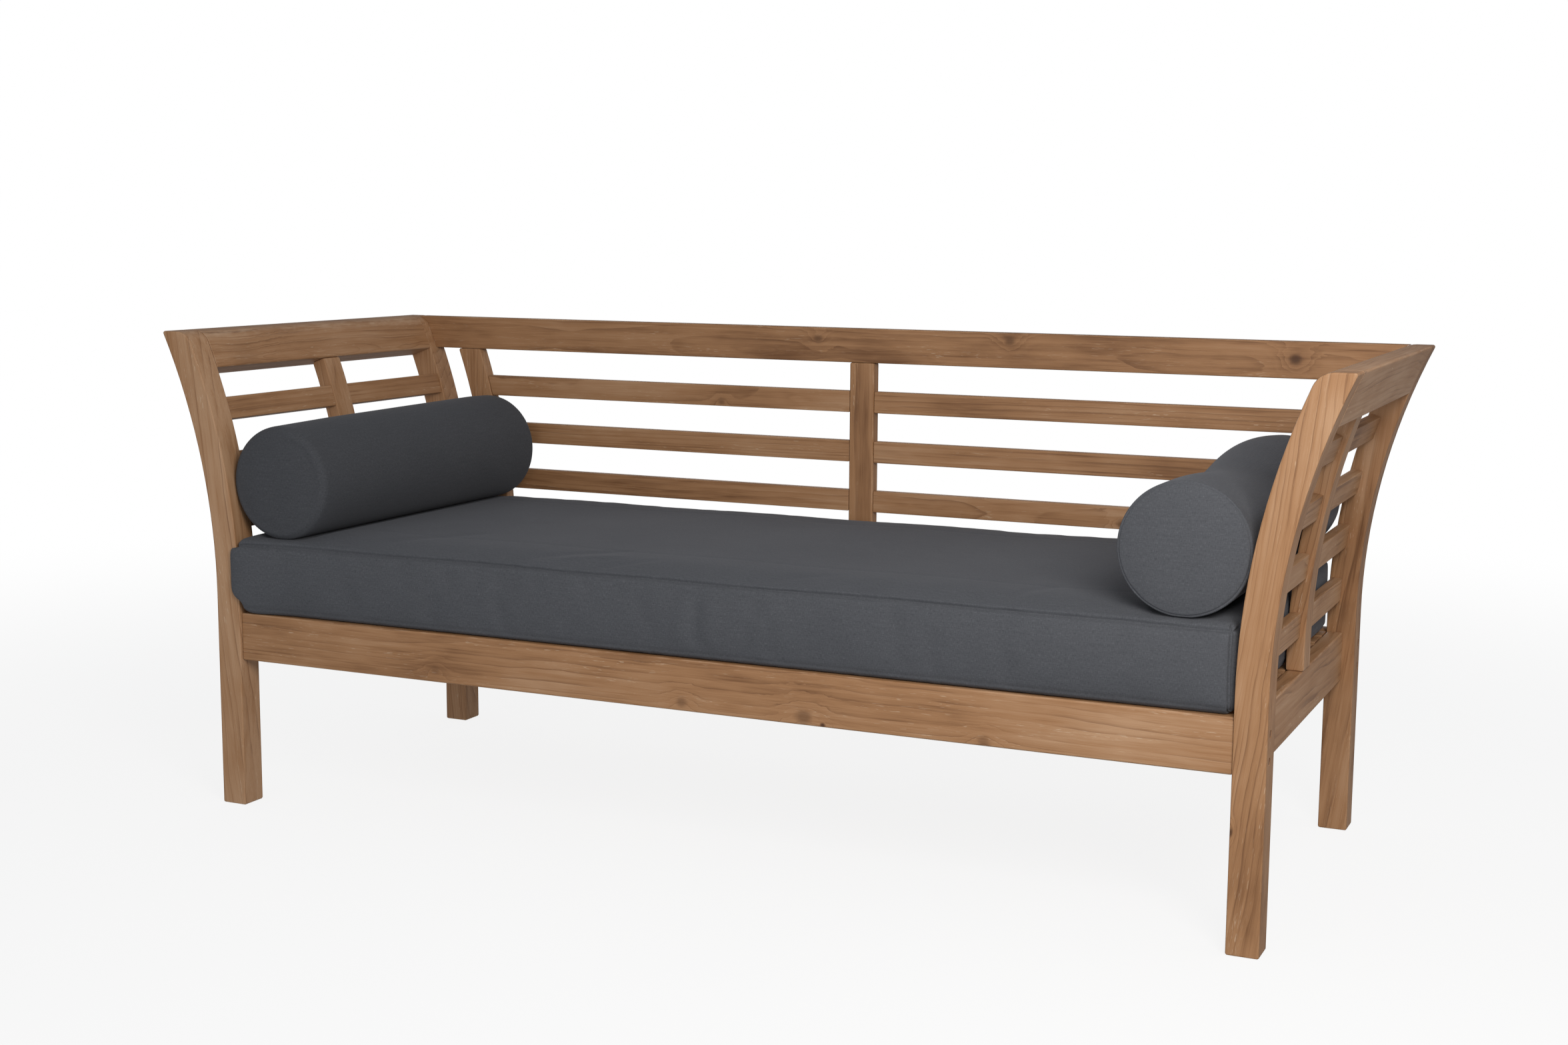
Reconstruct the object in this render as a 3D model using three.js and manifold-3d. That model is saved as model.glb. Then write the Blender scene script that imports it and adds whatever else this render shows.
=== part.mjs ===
// Slatted hardwood daybed with outward-sweeping ends, a boxed seat cushion and two bolsters.
// Millimetres. +X runs along the length, +Y goes to the back, +Z is up, and the floor is z = 0.
import * as THREE from 'three';
import { mergeVertices } from 'three/addons/utils/BufferGeometryUtils.js';
import Module from 'manifold-3d';

// Overall frame
const FOOT_LENGTH = 1890; // outer face to outer face of the legs, at the floor
const DEPTH = 770; // front face of the front legs to the back face of the back legs
const HEIGHT = 857;
const GAP = 0.3; // clearance left between pieces that touch
const EDGE = 2.5; // rounding of the long edges of the heavy pieces
const SLAT_EDGE = 1.6; // rounding of the slats' edges
const CORNER_RATIO = 1.4; // corner arcs of an outline against its edge rounding

// Legs, and the outward sweep that every piece of an end follows
const LEG = 50; // square section
const SWEEP_START = 387; // height where the straight leg begins to curve outwards
const SWEEP_RADIUS = 1106; // outer face of the leg
const TOP_ROUND = 34; // rounded inner top edge of the legs and end rails

// Rails
const RAIL_THICK = 27;
const RAIL_BOTTOM = 269;
const SEAT_TOP = 355; // top of the seat rails and of the seat slats
const RAIL_SETBACK = 5; // front and back rails sit this far behind the legs' outer faces
const END_RAIL_INSET = 1.5; // end rails and stiles sit this far outside the legs' inner faces
const TOP_RAIL_BOTTOM = 792; // on the inner faces
const RAIL_TIP = 0.6; // thickness where the back's top rail ends over a leg's rounded top
const BACK_RAIL_FRONT = 356.5; // front face of the back's top rail and stiles

// Stiles and slats of the ends and the back
const STILE_WIDTH = 50;
const STILE_THICK = 26; // stiles of the back
const END_STILE_THICK = 29;
const BACK_STILE_SPACE = 51; // open space between a back leg and the outer stile of the back
const SLAT_COUNT = 4;
const SLAT_WIDTH = 41;
const SLAT_THICK = 18;
const SLAT_INSET = 2; // slats sit this far inside the stiles' inner faces

// Seat
const SEAT_SLAT_COUNT = 11;
const SEAT_SLAT_WIDTH = 42;
const SEAT_SLAT_END_CLEARANCE = 1;
const CLEAT = 25;
const BEARER_WIDTH = 40;
const BEARER_HEIGHT = 45;
const BEARER_X = 300;

// Joinery
const TENON_LONG = 18; // rails
const TENON_SHORT = 12; // slats and stiles
const BOLT_RADIUS = 6; // recess of each bolt that holds a front or back rail to its leg
const BOLT_DEPTH = 5;
const BOLT_HEIGHTS = [292, 333];

// Cushions
const CUSHION_LENGTH = 1788;
const CUSHION_FRONT = -380;
const CUSHION_BACK = 340;
const CUSHION_THICK = 137;
const CUSHION_CORNER = 24; // times CORNER_RATIO
const CUSHION_EDGE = 20;
const BOLSTER_RADIUS = 100;
const BOLSTER_X = 811;
const BOLSTER_FRONT = -373;
const BOLSTER_BACK = 327;
const BOLSTER_EDGE = 9;

// Derived positions
const LEG_OUT = FOOT_LENGTH / 2;
const LEG_IN = LEG_OUT - LEG;
const LEG_FRONT = -DEPTH / 2;
const LEG_BACK = DEPTH / 2;
const SWEEP_X = LEG_OUT + SWEEP_RADIUS; // centre of the sweep, far outside the leg
const LEG_IN_RADIUS = SWEEP_RADIUS + LEG;
const STILE_IN_RADIUS = LEG_IN_RADIUS - END_RAIL_INSET;
const STILE_OUT_RADIUS = STILE_IN_RADIUS - END_STILE_THICK;
const SLAT_MID_RADIUS = STILE_IN_RADIUS - SLAT_INSET - SLAT_THICK / 2;
const BACK_STILE_OUT = LEG_IN_RADIUS + BACK_STILE_SPACE;
const BACK_STILE_IN = BACK_STILE_OUT + STILE_WIDTH;
const END_RAIL_IN = LEG_IN + END_RAIL_INSET;
const SLAT_SPACE = (TOP_RAIL_BOTTOM - SEAT_TOP - SLAT_COUNT * SLAT_WIDTH) / (SLAT_COUNT + 1);

const wasm = await Module();
wasm.setup();

// ---------- solids ----------

function toSolid(geometry) {
  const plain = new THREE.BufferGeometry();
  const loose = geometry.index ? geometry.toNonIndexed() : geometry;
  plain.setAttribute('position', loose.getAttribute('position'));
  const merged = mergeVertices(plain, 1e-3);
  const corners = merged.index.array;
  const triangles = [];
  for (let i = 0; i < corners.length; i += 3) {
    const [a, b, c] = [corners[i], corners[i + 1], corners[i + 2]];
    if (a !== b && b !== c && c !== a) {
      triangles.push(a, b, c);
    }
  }
  return new wasm.Manifold(new wasm.Mesh({
    numProp: 3,
    vertProperties: new Float32Array(merged.getAttribute('position').array),
    triVerts: new Uint32Array(triangles),
  }));
}

function toGeometry(solid) {
  const mesh = solid.getMesh();
  const geometry = new THREE.BufferGeometry();
  const positions = new Float32Array(mesh.vertProperties);
  geometry.setAttribute('position', new THREE.BufferAttribute(positions, 3));
  geometry.setIndex(new THREE.BufferAttribute(new Uint32Array(mesh.triVerts), 1));
  const flat = geometry.toNonIndexed();
  flat.computeVertexNormals();
  return flat;
}

// Replaces each sharp corner of an outline with an arc a little wider than the edge rounding.
function roundCorners(points, edge, steps = 3) {
  const radius = edge * CORNER_RATIO;
  const out = [];
  const count = points.length;
  for (let i = 0; i < count; i += 1) {
    const here = points[i];
    const back = points[(i + count - 1) % count].clone().sub(here).normalize();
    const ahead = points[(i + 1) % count].clone().sub(here).normalize();
    const angle = Math.acos(THREE.MathUtils.clamp(back.dot(ahead), -1, 1));
    if (angle > Math.PI * 0.85) {
      out.push(here.clone());
      continue;
    }
    const inward = back.clone().add(ahead).setLength(radius / Math.sin(angle / 2));
    const centre = here.clone().add(inward);
    const start = here.clone().addScaledVector(back, radius / Math.tan(angle / 2));
    const turn = (Math.PI - angle) * Math.sign(back.cross(ahead)) * -1;
    for (let k = 0; k <= steps; k += 1) {
      out.push(start.clone().rotateAround(centre, (turn * k) / steps));
    }
  }
  return out;
}

function mirrored(outline) {
  return outline.map((point) => new THREE.Vector2(-point.x, point.y)).reverse();
}

// A prism of an XZ outline running along Y, with rounded end edges.
function slabAlongY(outline, yLow, yHigh, edge, steps = 2) {
  const geometry = new THREE.ExtrudeGeometry(new THREE.Shape(outline), {
    depth: yHigh - yLow - 2 * edge,
    bevelEnabled: true,
    bevelThickness: edge,
    bevelSize: edge,
    bevelOffset: -edge,
    bevelSegments: steps,
  });
  geometry.translate(0, 0, edge);
  geometry.rotateX(Math.PI / 2);
  geometry.translate(0, yHigh, 0);
  return geometry;
}

function rectangle(halfWidth, halfHeight) {
  return [
    new THREE.Vector2(-halfWidth, -halfHeight),
    new THREE.Vector2(halfWidth, -halfHeight),
    new THREE.Vector2(halfWidth, halfHeight),
    new THREE.Vector2(-halfWidth, halfHeight),
  ];
}

// A straight board given by its low and high corners, rounded on every edge.
function board(low, high, edge) {
  const size = high.map((value, axis) => value - low[axis]);
  const middle = high.map((value, axis) => (value + low[axis]) / 2);
  const longest = size.indexOf(Math.max(...size));
  const [across, up] = longest === 0 ? [size[1], size[2]] : [size[0], longest === 1 ? size[2] : size[1]];
  const outline = roundCorners(rectangle(across / 2, up / 2), edge);
  const geometry = slabAlongY(outline, -size[longest] / 2, size[longest] / 2, edge);
  if (longest === 0) {
    geometry.rotateZ(Math.PI / 2);
  } else if (longest === 2) {
    geometry.rotateX(Math.PI / 2);
  }
  geometry.translate(...middle);
  return geometry;
}

// A square-edged block centred on a point and turned about Y, for tenons and their mortises.
function block(centre, size, tilt = 0, grow = 0) {
  const geometry = new THREE.BoxGeometry(size[0] + 2 * grow, size[1] + 2 * grow, size[2] + 2 * grow);
  geometry.rotateY(tilt);
  geometry.translate(...centre);
  return toSolid(geometry);
}

// ---------- the sweep of the ends ----------

function sweepX(radius, z) {
  return SWEEP_X - Math.sqrt(radius ** 2 - Math.max(z - SWEEP_START, 0) ** 2);
}

// Angle between the vertical and the sweep at a height.
function sweepTilt(radius, z) {
  return Math.asin(Math.max(z - SWEEP_START, 0) / radius);
}

// Points of one face of the sweep, from one height to another.
function sweepLine(radius, zFrom, zTo, steps = 12) {
  const points = [];
  const low = Math.min(zFrom, zTo);
  const high = Math.max(zFrom, zTo);
  if (low < SWEEP_START) {
    points.push(new THREE.Vector2(sweepX(radius, low), low));
  }
  const begin = Math.max(low, SWEEP_START);
  const curved = high > SWEEP_START;
  for (let i = 0; curved && i <= steps; i += 1) {
    const z = begin + ((high - begin) * i) / steps;
    points.push(new THREE.Vector2(sweepX(radius, z), z));
  }
  if (!curved) {
    points.push(new THREE.Vector2(sweepX(radius, high), high));
  }
  return zFrom < zTo ? points : points.reverse();
}

// Height on the face at one radius of a cut square to the sweep, given its height on the legs' inner face.
function squareCut(z, radius) {
  return SWEEP_START + ((z - SWEEP_START) * radius) / LEG_IN_RADIUS;
}

// Outline between two faces of the sweep, from a level foot; the smaller radius is the outer face.
function band(outRadius, inRadius, zLow, zHighOut, zHighIn, steps = 12) {
  return [...sweepLine(outRadius, zLow, zHighOut, steps), ...sweepLine(inRadius, zHighIn, zLow, steps)];
}

// The rounded inner top edge, from the flat top down to the inner face.
function topRound(grow = 0, steps = 7) {
  const radius = TOP_ROUND + grow;
  const z = HEIGHT - TOP_ROUND;
  const x = SWEEP_X - Math.sqrt((LEG_IN_RADIUS - TOP_ROUND) ** 2 - (z - SWEEP_START) ** 2);
  const turn = Math.PI / 2 - Math.asin((z - SWEEP_START) / (LEG_IN_RADIUS - TOP_ROUND));
  const points = [];
  for (let i = 0; i <= steps; i += 1) {
    const angle = Math.PI / 2 + (turn * i) / steps;
    points.push(new THREE.Vector2(x + radius * Math.cos(angle), z + radius * Math.sin(angle)));
  }
  return points;
}

// Outline of a leg or of an end's top rail, which share one top. The foot is level or cut square.
function toppedBand(zLow, steps, zOut = zLow) {
  const round = topRound();
  const roundFoot = round[round.length - 1].y;
  return [
    ...sweepLine(SWEEP_RADIUS, zOut, HEIGHT, steps),
    ...round,
    ...sweepLine(LEG_IN_RADIUS, roundFoot, zLow, steps).slice(1),
  ];
}

// ---------- pieces ----------

const group = new THREE.Group();
group.name = 'daybed';
const teak = { color: 0xa9784f, roughness: 0.6, metalness: 0 };
const cloth = { color: 0x4d5056, roughness: 0.95, metalness: 0 };
const solids = new Map();

function keep(name, geometry, finish = teak) {
  solids.set(name, { solid: toSolid(geometry), finish });
}

function cut(name, tool) {
  const entry = solids.get(name);
  entry.solid = entry.solid.subtract(tool);
}

// Adds a tenon to one piece and cuts the matching mortise in another.
function joint(name, into, centre, size, tilt = 0) {
  const entry = solids.get(name);
  entry.solid = entry.solid.add(block(centre, size, tilt));
  cut(into, block(centre, size, tilt, GAP));
}

const SIDES = [['left', -1], ['right', 1]];
const ENDS = [['front', LEG_FRONT, LEG_FRONT + LEG], ['back', LEG_BACK - LEG, LEG_BACK]];

function onSide(outline, sign) {
  return sign > 0 ? outline : mirrored(outline);
}

function makeLegs() {
  for (const [side, sign] of SIDES) {
    for (const [end, yLow, yHigh] of ENDS) {
      const outline = roundCorners(toppedBand(0, 16), EDGE);
      keep(`leg_${end}_${side}`, slabAlongY(onSide(outline, sign), yLow, yHigh, EDGE));
    }
  }
}

function makeTopRails() {
  for (const [side, sign] of SIDES) {
    const zOut = squareCut(TOP_RAIL_BOTTOM, SWEEP_RADIUS);
    const outline = roundCorners(toppedBand(TOP_RAIL_BOTTOM, 4, zOut), EDGE);
    const reach = LEG_BACK - LEG - GAP;
    keep(`top_rail_${side}`, slabAlongY(onSide(outline, sign), -reach, reach, 0.8, 1));
  }
  // The back's top rail is scribed to the legs' inner faces and runs out thin over their rounded tops.
  const arc = topRound(GAP, 24);
  const tip = arc.find((point) => point.y < HEIGHT - RAIL_TIP);
  const back = BACK_RAIL_FRONT + RAIL_THICK;
  const low = [-tip.x, BACK_RAIL_FRONT, TOP_RAIL_BOTTOM];
  keep('top_rail_back', board(low, [tip.x, back, HEIGHT], SLAT_EDGE));
  const foot = TOP_RAIL_BOTTOM - 5;
  const scribe = [
    ...sweepLine(LEG_IN_RADIUS + GAP, foot, arc[arc.length - 1].y, 3),
    ...arc.reverse().slice(1),
    new THREE.Vector2(tip.x + LEG, HEIGHT + GAP),
    new THREE.Vector2(tip.x + LEG, foot),
  ];
  for (const [, sign] of SIDES) {
    cut('top_rail_back', toSolid(slabAlongY(onSide(scribe, sign), BACK_RAIL_FRONT - 5, back + 5, 0)));
  }
}

function makeSeatRails() {
  const reach = LEG_IN - GAP;
  const front = LEG_FRONT + RAIL_SETBACK;
  const back = LEG_BACK - RAIL_SETBACK;
  keep('seat_rail_front', board([-reach, front, RAIL_BOTTOM], [reach, front + RAIL_THICK, SEAT_TOP], EDGE));
  keep('seat_rail_back', board([-reach, back - RAIL_THICK, RAIL_BOTTOM], [reach, back, SEAT_TOP], EDGE));
  const yReach = LEG_BACK - LEG - GAP;
  const xOut = END_RAIL_IN + RAIL_THICK;
  for (const [side, sign] of SIDES) {
    const low = [sign > 0 ? END_RAIL_IN : -xOut, -yReach, RAIL_BOTTOM];
    const high = [sign > 0 ? xOut : -END_RAIL_IN, yReach, SEAT_TOP];
    keep(`seat_rail_${side}`, board(low, high, EDGE));
  }
}

function makeStiles() {
  const low = SEAT_TOP + GAP;
  const high = TOP_RAIL_BOTTOM - GAP;
  const half = STILE_WIDTH / 2;
  for (const [side, sign] of SIDES) {
    const tops = [squareCut(high, STILE_OUT_RADIUS), squareCut(high, STILE_IN_RADIUS)];
    const edge = roundCorners(band(STILE_OUT_RADIUS, STILE_IN_RADIUS, low, ...tops), EDGE);
    keep(`stile_${side}`, slabAlongY(onSide(edge, sign), -half, half, EDGE));
    const outer = roundCorners(band(BACK_STILE_OUT, BACK_STILE_IN, low, high, high), EDGE);
    const back = BACK_RAIL_FRONT + STILE_THICK;
    keep(`stile_back_${side}`, slabAlongY(onSide(outer, sign), BACK_RAIL_FRONT, back, EDGE));
  }
  const corner = [-half, BACK_RAIL_FRONT, low];
  keep('stile_back_centre', board(corner, [half, BACK_RAIL_FRONT + STILE_THICK, high], EDGE));
}

function slatHeight(index) {
  return TOP_RAIL_BOTTOM - (index + 1) * SLAT_SPACE - (index + 0.5) * SLAT_WIDTH;
}

// Slats of the two ends, tilted to follow the sweep. Number 1 is the highest.
function makeEndSlats() {
  const half = STILE_WIDTH / 2;
  const runs = [['front', LEG_FRONT + LEG + GAP, -half - GAP], ['back', half + GAP, LEG_BACK - LEG - GAP]];
  for (const [side, sign] of SIDES) {
    for (const [end, yLow, yHigh] of runs) {
      for (let i = 0; i < SLAT_COUNT; i += 1) {
        const z = slatHeight(i);
        const tilt = sweepTilt(SLAT_MID_RADIUS, z) * sign;
        const x = sweepX(SLAT_MID_RADIUS, z) * sign;
        const name = `slat_${side}_${end}_${i + 1}`;
        const outline = roundCorners(rectangle(SLAT_THICK / 2, SLAT_WIDTH / 2), SLAT_EDGE, 2);
        const slat = slabAlongY(outline, yLow, yHigh, 0.6, 1);
        slat.rotateY(tilt);
        slat.translate(x, 0, z);
        keep(name, slat);
        const size = [8, TENON_SHORT * 2, SLAT_WIDTH - 12];
        const [legY, stileY] = end === 'front' ? [yLow, yHigh] : [yHigh, yLow];
        joint(name, `leg_${end}_${side}`, [x, legY, z], size, tilt);
        joint(name, `stile_${side}`, [x, stileY, z], size, tilt);
      }
    }
  }
}

// Slats of the back, in a left and a right half. Their outer ends are cut to the curved stiles.
function makeBackSlats() {
  const front = BACK_RAIL_FRONT + SLAT_INSET;
  const middle = front + SLAT_THICK / 2;
  const inner = STILE_WIDTH / 2 + GAP;
  for (const [side, sign] of SIDES) {
    for (let i = 0; i < SLAT_COUNT; i += 1) {
      const z = slatHeight(i);
      const low = z - SLAT_WIDTH / 2;
      const high = z + SLAT_WIDTH / 2;
      const outline = roundCorners([
        new THREE.Vector2(inner, low),
        ...sweepLine(BACK_STILE_IN + GAP, low, high, 3),
        new THREE.Vector2(inner, high),
      ], SLAT_EDGE, 2);
      const name = `slat_back_${side}_${i + 1}`;
      keep(name, slabAlongY(onSide(outline, sign), front, front + SLAT_THICK, SLAT_EDGE));
      const outer = sweepX(BACK_STILE_IN, z);
      const size = [TENON_SHORT * 2, 8, SLAT_WIDTH - 14];
      joint(name, 'stile_back_centre', [sign * inner, middle, z], [TENON_SHORT * 1.6, 8, SLAT_WIDTH - 14]);
      joint(name, `stile_back_${side}`, [sign * outer, middle, z], size);
    }
  }
}

function makeSeat() {
  const inside = LEG_BACK - RAIL_SETBACK - RAIL_THICK;
  const space = (2 * inside - SEAT_SLAT_COUNT * SEAT_SLAT_WIDTH) / (SEAT_SLAT_COUNT + 1);
  const reach = END_RAIL_IN - SEAT_SLAT_END_CLEARANCE;
  const bottom = SEAT_TOP - SLAT_THICK;
  for (let i = 0; i < SEAT_SLAT_COUNT; i += 1) {
    const yLow = -inside + space + i * (SEAT_SLAT_WIDTH + space);
    const number = String(i + 1).padStart(2, '0');
    const high = [reach, yLow + SEAT_SLAT_WIDTH, SEAT_TOP];
    keep(`seat_slat_${number}`, board([-reach, yLow, bottom], high, SLAT_EDGE));
  }
  const under = bottom - GAP;
  const cleatOut = END_RAIL_IN - GAP;
  const cleatRun = LEG_BACK - LEG - GAP;
  const run = inside - GAP;
  for (const [side, sign] of SIDES) {
    const low = [sign > 0 ? cleatOut - CLEAT : -cleatOut, -cleatRun, under - CLEAT];
    const high = [sign > 0 ? cleatOut : CLEAT - cleatOut, cleatRun, under];
    keep(`cleat_${side}`, board(low, high, SLAT_EDGE));
    const x = sign * BEARER_X;
    const name = `bearer_${side}`;
    const corner = [x - BEARER_WIDTH / 2, -run, under - BEARER_HEIGHT];
    keep(name, board(corner, [x + BEARER_WIDTH / 2, run, under], SLAT_EDGE));
    const size = [BEARER_WIDTH - 14, TENON_SHORT * 2, BEARER_HEIGHT - 14];
    joint(name, 'seat_rail_front', [x, -run, under - BEARER_HEIGHT / 2], size);
    joint(name, 'seat_rail_back', [x, run, under - BEARER_HEIGHT / 2], size);
  }
}

// Tenons of the rails and stiles, and the bolt recesses on the legs.
function makeJoints() {
  const railZ = (RAIL_BOTTOM + SEAT_TOP) / 2;
  const railTenon = SEAT_TOP - RAIL_BOTTOM - 26;
  const topZ = TOP_RAIL_BOTTOM + 24;
  for (const [side, sign] of SIDES) {
    for (const [end, yLow, yHigh] of ENDS) {
      const leg = `leg_${end}_${side}`;
      const outward = end === 'front' ? -1 : 1;
      const railY = outward * (LEG_BACK - RAIL_SETBACK - RAIL_THICK / 2);
      const legFace = end === 'front' ? yHigh : yLow;
      joint(`seat_rail_${end}`, leg, [sign * LEG_IN, railY, railZ], [TENON_LONG * 2, 12, railTenon]);
      const endX = sign * (END_RAIL_IN + RAIL_THICK / 2);
      joint(`seat_rail_${side}`, leg, [endX, legFace, railZ], [12, TENON_LONG * 1.4, railTenon]);
      const radius = SWEEP_RADIUS + LEG / 2;
      const tilt = sign * sweepTilt(radius, topZ);
      joint(`top_rail_${side}`, leg, [sign * sweepX(radius, topZ), legFace, topZ], [20, 28, 30], tilt);
      for (const height of BOLT_HEIGHTS) {
        const recess = new THREE.CylinderGeometry(BOLT_RADIUS, BOLT_RADIUS, BOLT_DEPTH * 2, 20);
        recess.rotateZ(Math.PI / 2);
        recess.translate(sign * LEG_OUT, railY, height);
        cut(leg, toSolid(recess));
      }
    }
    const backY = BACK_RAIL_FRONT + RAIL_THICK / 2;
    const backX = sign * sweepX(LEG_IN_RADIUS, topZ - 4);
    joint('top_rail_back', `leg_back_${side}`, [backX, backY, topZ - 4], [34, 11, 32]);
    const lowX = sign * (END_RAIL_IN + STILE_THICK / 2);
    joint(`stile_${side}`, `seat_rail_${side}`, [lowX, 0, SEAT_TOP], [10, 30, TENON_SHORT * 2]);
    const midRadius = STILE_IN_RADIUS - STILE_THICK / 2;
    const highX = sign * sweepX(midRadius, TOP_RAIL_BOTTOM);
    const highTilt = sign * sweepTilt(midRadius, TOP_RAIL_BOTTOM);
    const size = [10, 30, TENON_SHORT * 2];
    joint(`stile_${side}`, `top_rail_${side}`, [highX, 0, TOP_RAIL_BOTTOM], size, highTilt);
    const stileY = BACK_RAIL_FRONT + STILE_THICK / 2;
    const wide = [28, 10, TENON_SHORT * 2];
    const middle = (BACK_STILE_OUT + BACK_STILE_IN) / 2;
    const footX = sign * sweepX(middle, SEAT_TOP);
    joint(`stile_back_${side}`, 'seat_rail_back', [footX, stileY, SEAT_TOP], wide);
    const headX = sign * sweepX(middle, TOP_RAIL_BOTTOM);
    const headTilt = sign * sweepTilt(middle, TOP_RAIL_BOTTOM);
    joint(`stile_back_${side}`, 'top_rail_back', [headX, stileY, TOP_RAIL_BOTTOM], wide, headTilt);
  }
  const centreY = BACK_RAIL_FRONT + STILE_THICK / 2;
  joint('stile_back_centre', 'seat_rail_back', [0, centreY, SEAT_TOP], [28, 10, TENON_SHORT * 2]);
  joint('stile_back_centre', 'top_rail_back', [0, centreY, TOP_RAIL_BOTTOM], [28, 10, TENON_SHORT * 2]);
}

// A boxed seat cushion with rounded corners, and a bolster lying along each end.
function makeCushions() {
  const depth = CUSHION_BACK - CUSHION_FRONT;
  const plan = roundCorners(rectangle(CUSHION_LENGTH / 2, depth / 2), CUSHION_CORNER, 6);
  const low = SEAT_TOP + GAP;
  const cushion = slabAlongY(plan, 0, CUSHION_THICK, CUSHION_EDGE, 4);
  cushion.rotateX(Math.PI / 2);
  cushion.translate(0, (CUSHION_FRONT + CUSHION_BACK) / 2, low);
  keep('mattress', cushion, cloth);
  const z = low + CUSHION_THICK + GAP + BOLSTER_RADIUS;
  const circle = [];
  const steps = 48;
  for (let i = 0; i < steps; i += 1) {
    const angle = (2 * Math.PI * i) / steps;
    circle.push(new THREE.Vector2(Math.cos(angle), Math.sin(angle)).multiplyScalar(BOLSTER_RADIUS));
  }
  for (const [side, sign] of SIDES) {
    const bolster = slabAlongY(circle, BOLSTER_FRONT, BOLSTER_BACK, BOLSTER_EDGE, 3);
    bolster.translate(sign * BOLSTER_X, 0, z);
    keep(`bolster_${side}`, bolster, cloth);
  }
}

makeLegs();
makeTopRails();
makeSeatRails();
makeStiles();
makeEndSlats();
makeBackSlats();
makeSeat();
makeJoints();
makeCushions();

for (const [name, { solid, finish }] of solids) {
  const mesh = new THREE.Mesh(toGeometry(solid), new THREE.MeshStandardMaterial(finish));
  mesh.name = name;
  group.add(mesh);
}

export default group;
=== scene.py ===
"""A teak daybed with a foam mattress and two round bolsters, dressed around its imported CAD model.

Everything is in metres: +X runs along the length, -Y is the open front and +Z is up.
"""

import math
import random

import bpy
import numpy as np
from mathutils import Matrix, Vector


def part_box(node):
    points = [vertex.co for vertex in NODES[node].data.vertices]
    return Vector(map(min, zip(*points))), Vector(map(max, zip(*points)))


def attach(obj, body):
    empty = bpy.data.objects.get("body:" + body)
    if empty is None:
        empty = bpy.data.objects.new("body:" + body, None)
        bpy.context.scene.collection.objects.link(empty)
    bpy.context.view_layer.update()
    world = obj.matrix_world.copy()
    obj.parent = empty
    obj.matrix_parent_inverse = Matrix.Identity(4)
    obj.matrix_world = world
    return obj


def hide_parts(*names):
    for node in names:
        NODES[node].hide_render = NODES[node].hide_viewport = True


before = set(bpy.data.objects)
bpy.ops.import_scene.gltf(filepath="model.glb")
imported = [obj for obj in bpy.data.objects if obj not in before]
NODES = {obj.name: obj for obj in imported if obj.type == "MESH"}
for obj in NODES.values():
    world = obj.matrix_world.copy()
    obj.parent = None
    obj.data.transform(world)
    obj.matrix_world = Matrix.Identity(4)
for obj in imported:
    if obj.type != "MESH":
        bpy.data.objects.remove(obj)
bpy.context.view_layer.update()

# ---------------------------------------------------------------- camera, light and floor

CAMERA_AT = Vector((1.52738, -3.30012, 1.05822))
CAMERA_YAW, CAMERA_PITCH, CAMERA_ROLL = -0.432667, 0.144203, 0.006403
CAMERA_LENS, CAMERA_SENSOR = 47.62, 36.0

KEY_TINT = (1.0, 0.975, 0.94)
AMBIENT_TINT = (0.93, 0.96, 1.0)
AMBIENT_STRENGTH = 0.34
FLOOR_COLOUR = (0.80, 0.80, 0.80)
FLOOR_GLOW = 0.86
FLOOR_FADE = (1.4, 4.0)
FLOOR_REACH, FLOOR_DROP = 30.0, 0.0005


def make_camera():
    """The camera, from where it stands and how it is turned: yaw, pitch, then roll."""
    ahead = Vector(
        (
            math.sin(CAMERA_YAW) * math.cos(CAMERA_PITCH),
            math.cos(CAMERA_YAW) * math.cos(CAMERA_PITCH),
            -math.sin(CAMERA_PITCH),
        )
    )
    level = Vector((math.cos(CAMERA_YAW), -math.sin(CAMERA_YAW), 0.0))
    over = level.cross(ahead)
    right = math.cos(CAMERA_ROLL) * level + math.sin(CAMERA_ROLL) * over
    up = -math.sin(CAMERA_ROLL) * level + math.cos(CAMERA_ROLL) * over
    camera = bpy.data.objects.new("camera", bpy.data.cameras.new("camera"))
    camera.data.lens = CAMERA_LENS
    camera.data.sensor_width = CAMERA_SENSOR
    camera.data.clip_start = 0.05
    camera.data.clip_end = 200.0
    turn = Matrix((right, up, -ahead)).transposed().to_4x4()
    camera.matrix_world = Matrix.Translation(CAMERA_AT) @ turn
    bpy.context.scene.collection.objects.link(camera)
    bpy.context.scene.camera = camera


def make_light(name, at, aim, size, watts, tint=(1.0, 1.0, 1.0)):
    """A rectangular lamp that stands at one point and faces another."""
    lamp = bpy.data.lights.new(name, "AREA")
    lamp.shape = "RECTANGLE"
    lamp.size, lamp.size_y = size
    lamp.energy = watts
    lamp.color = tint
    holder = bpy.data.objects.new(name, lamp)
    holder.location = at
    holder.rotation_euler = (Vector(aim) - Vector(at)).to_track_quat("-Z", "Y").to_euler()
    bpy.context.scene.collection.objects.link(holder)


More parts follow.
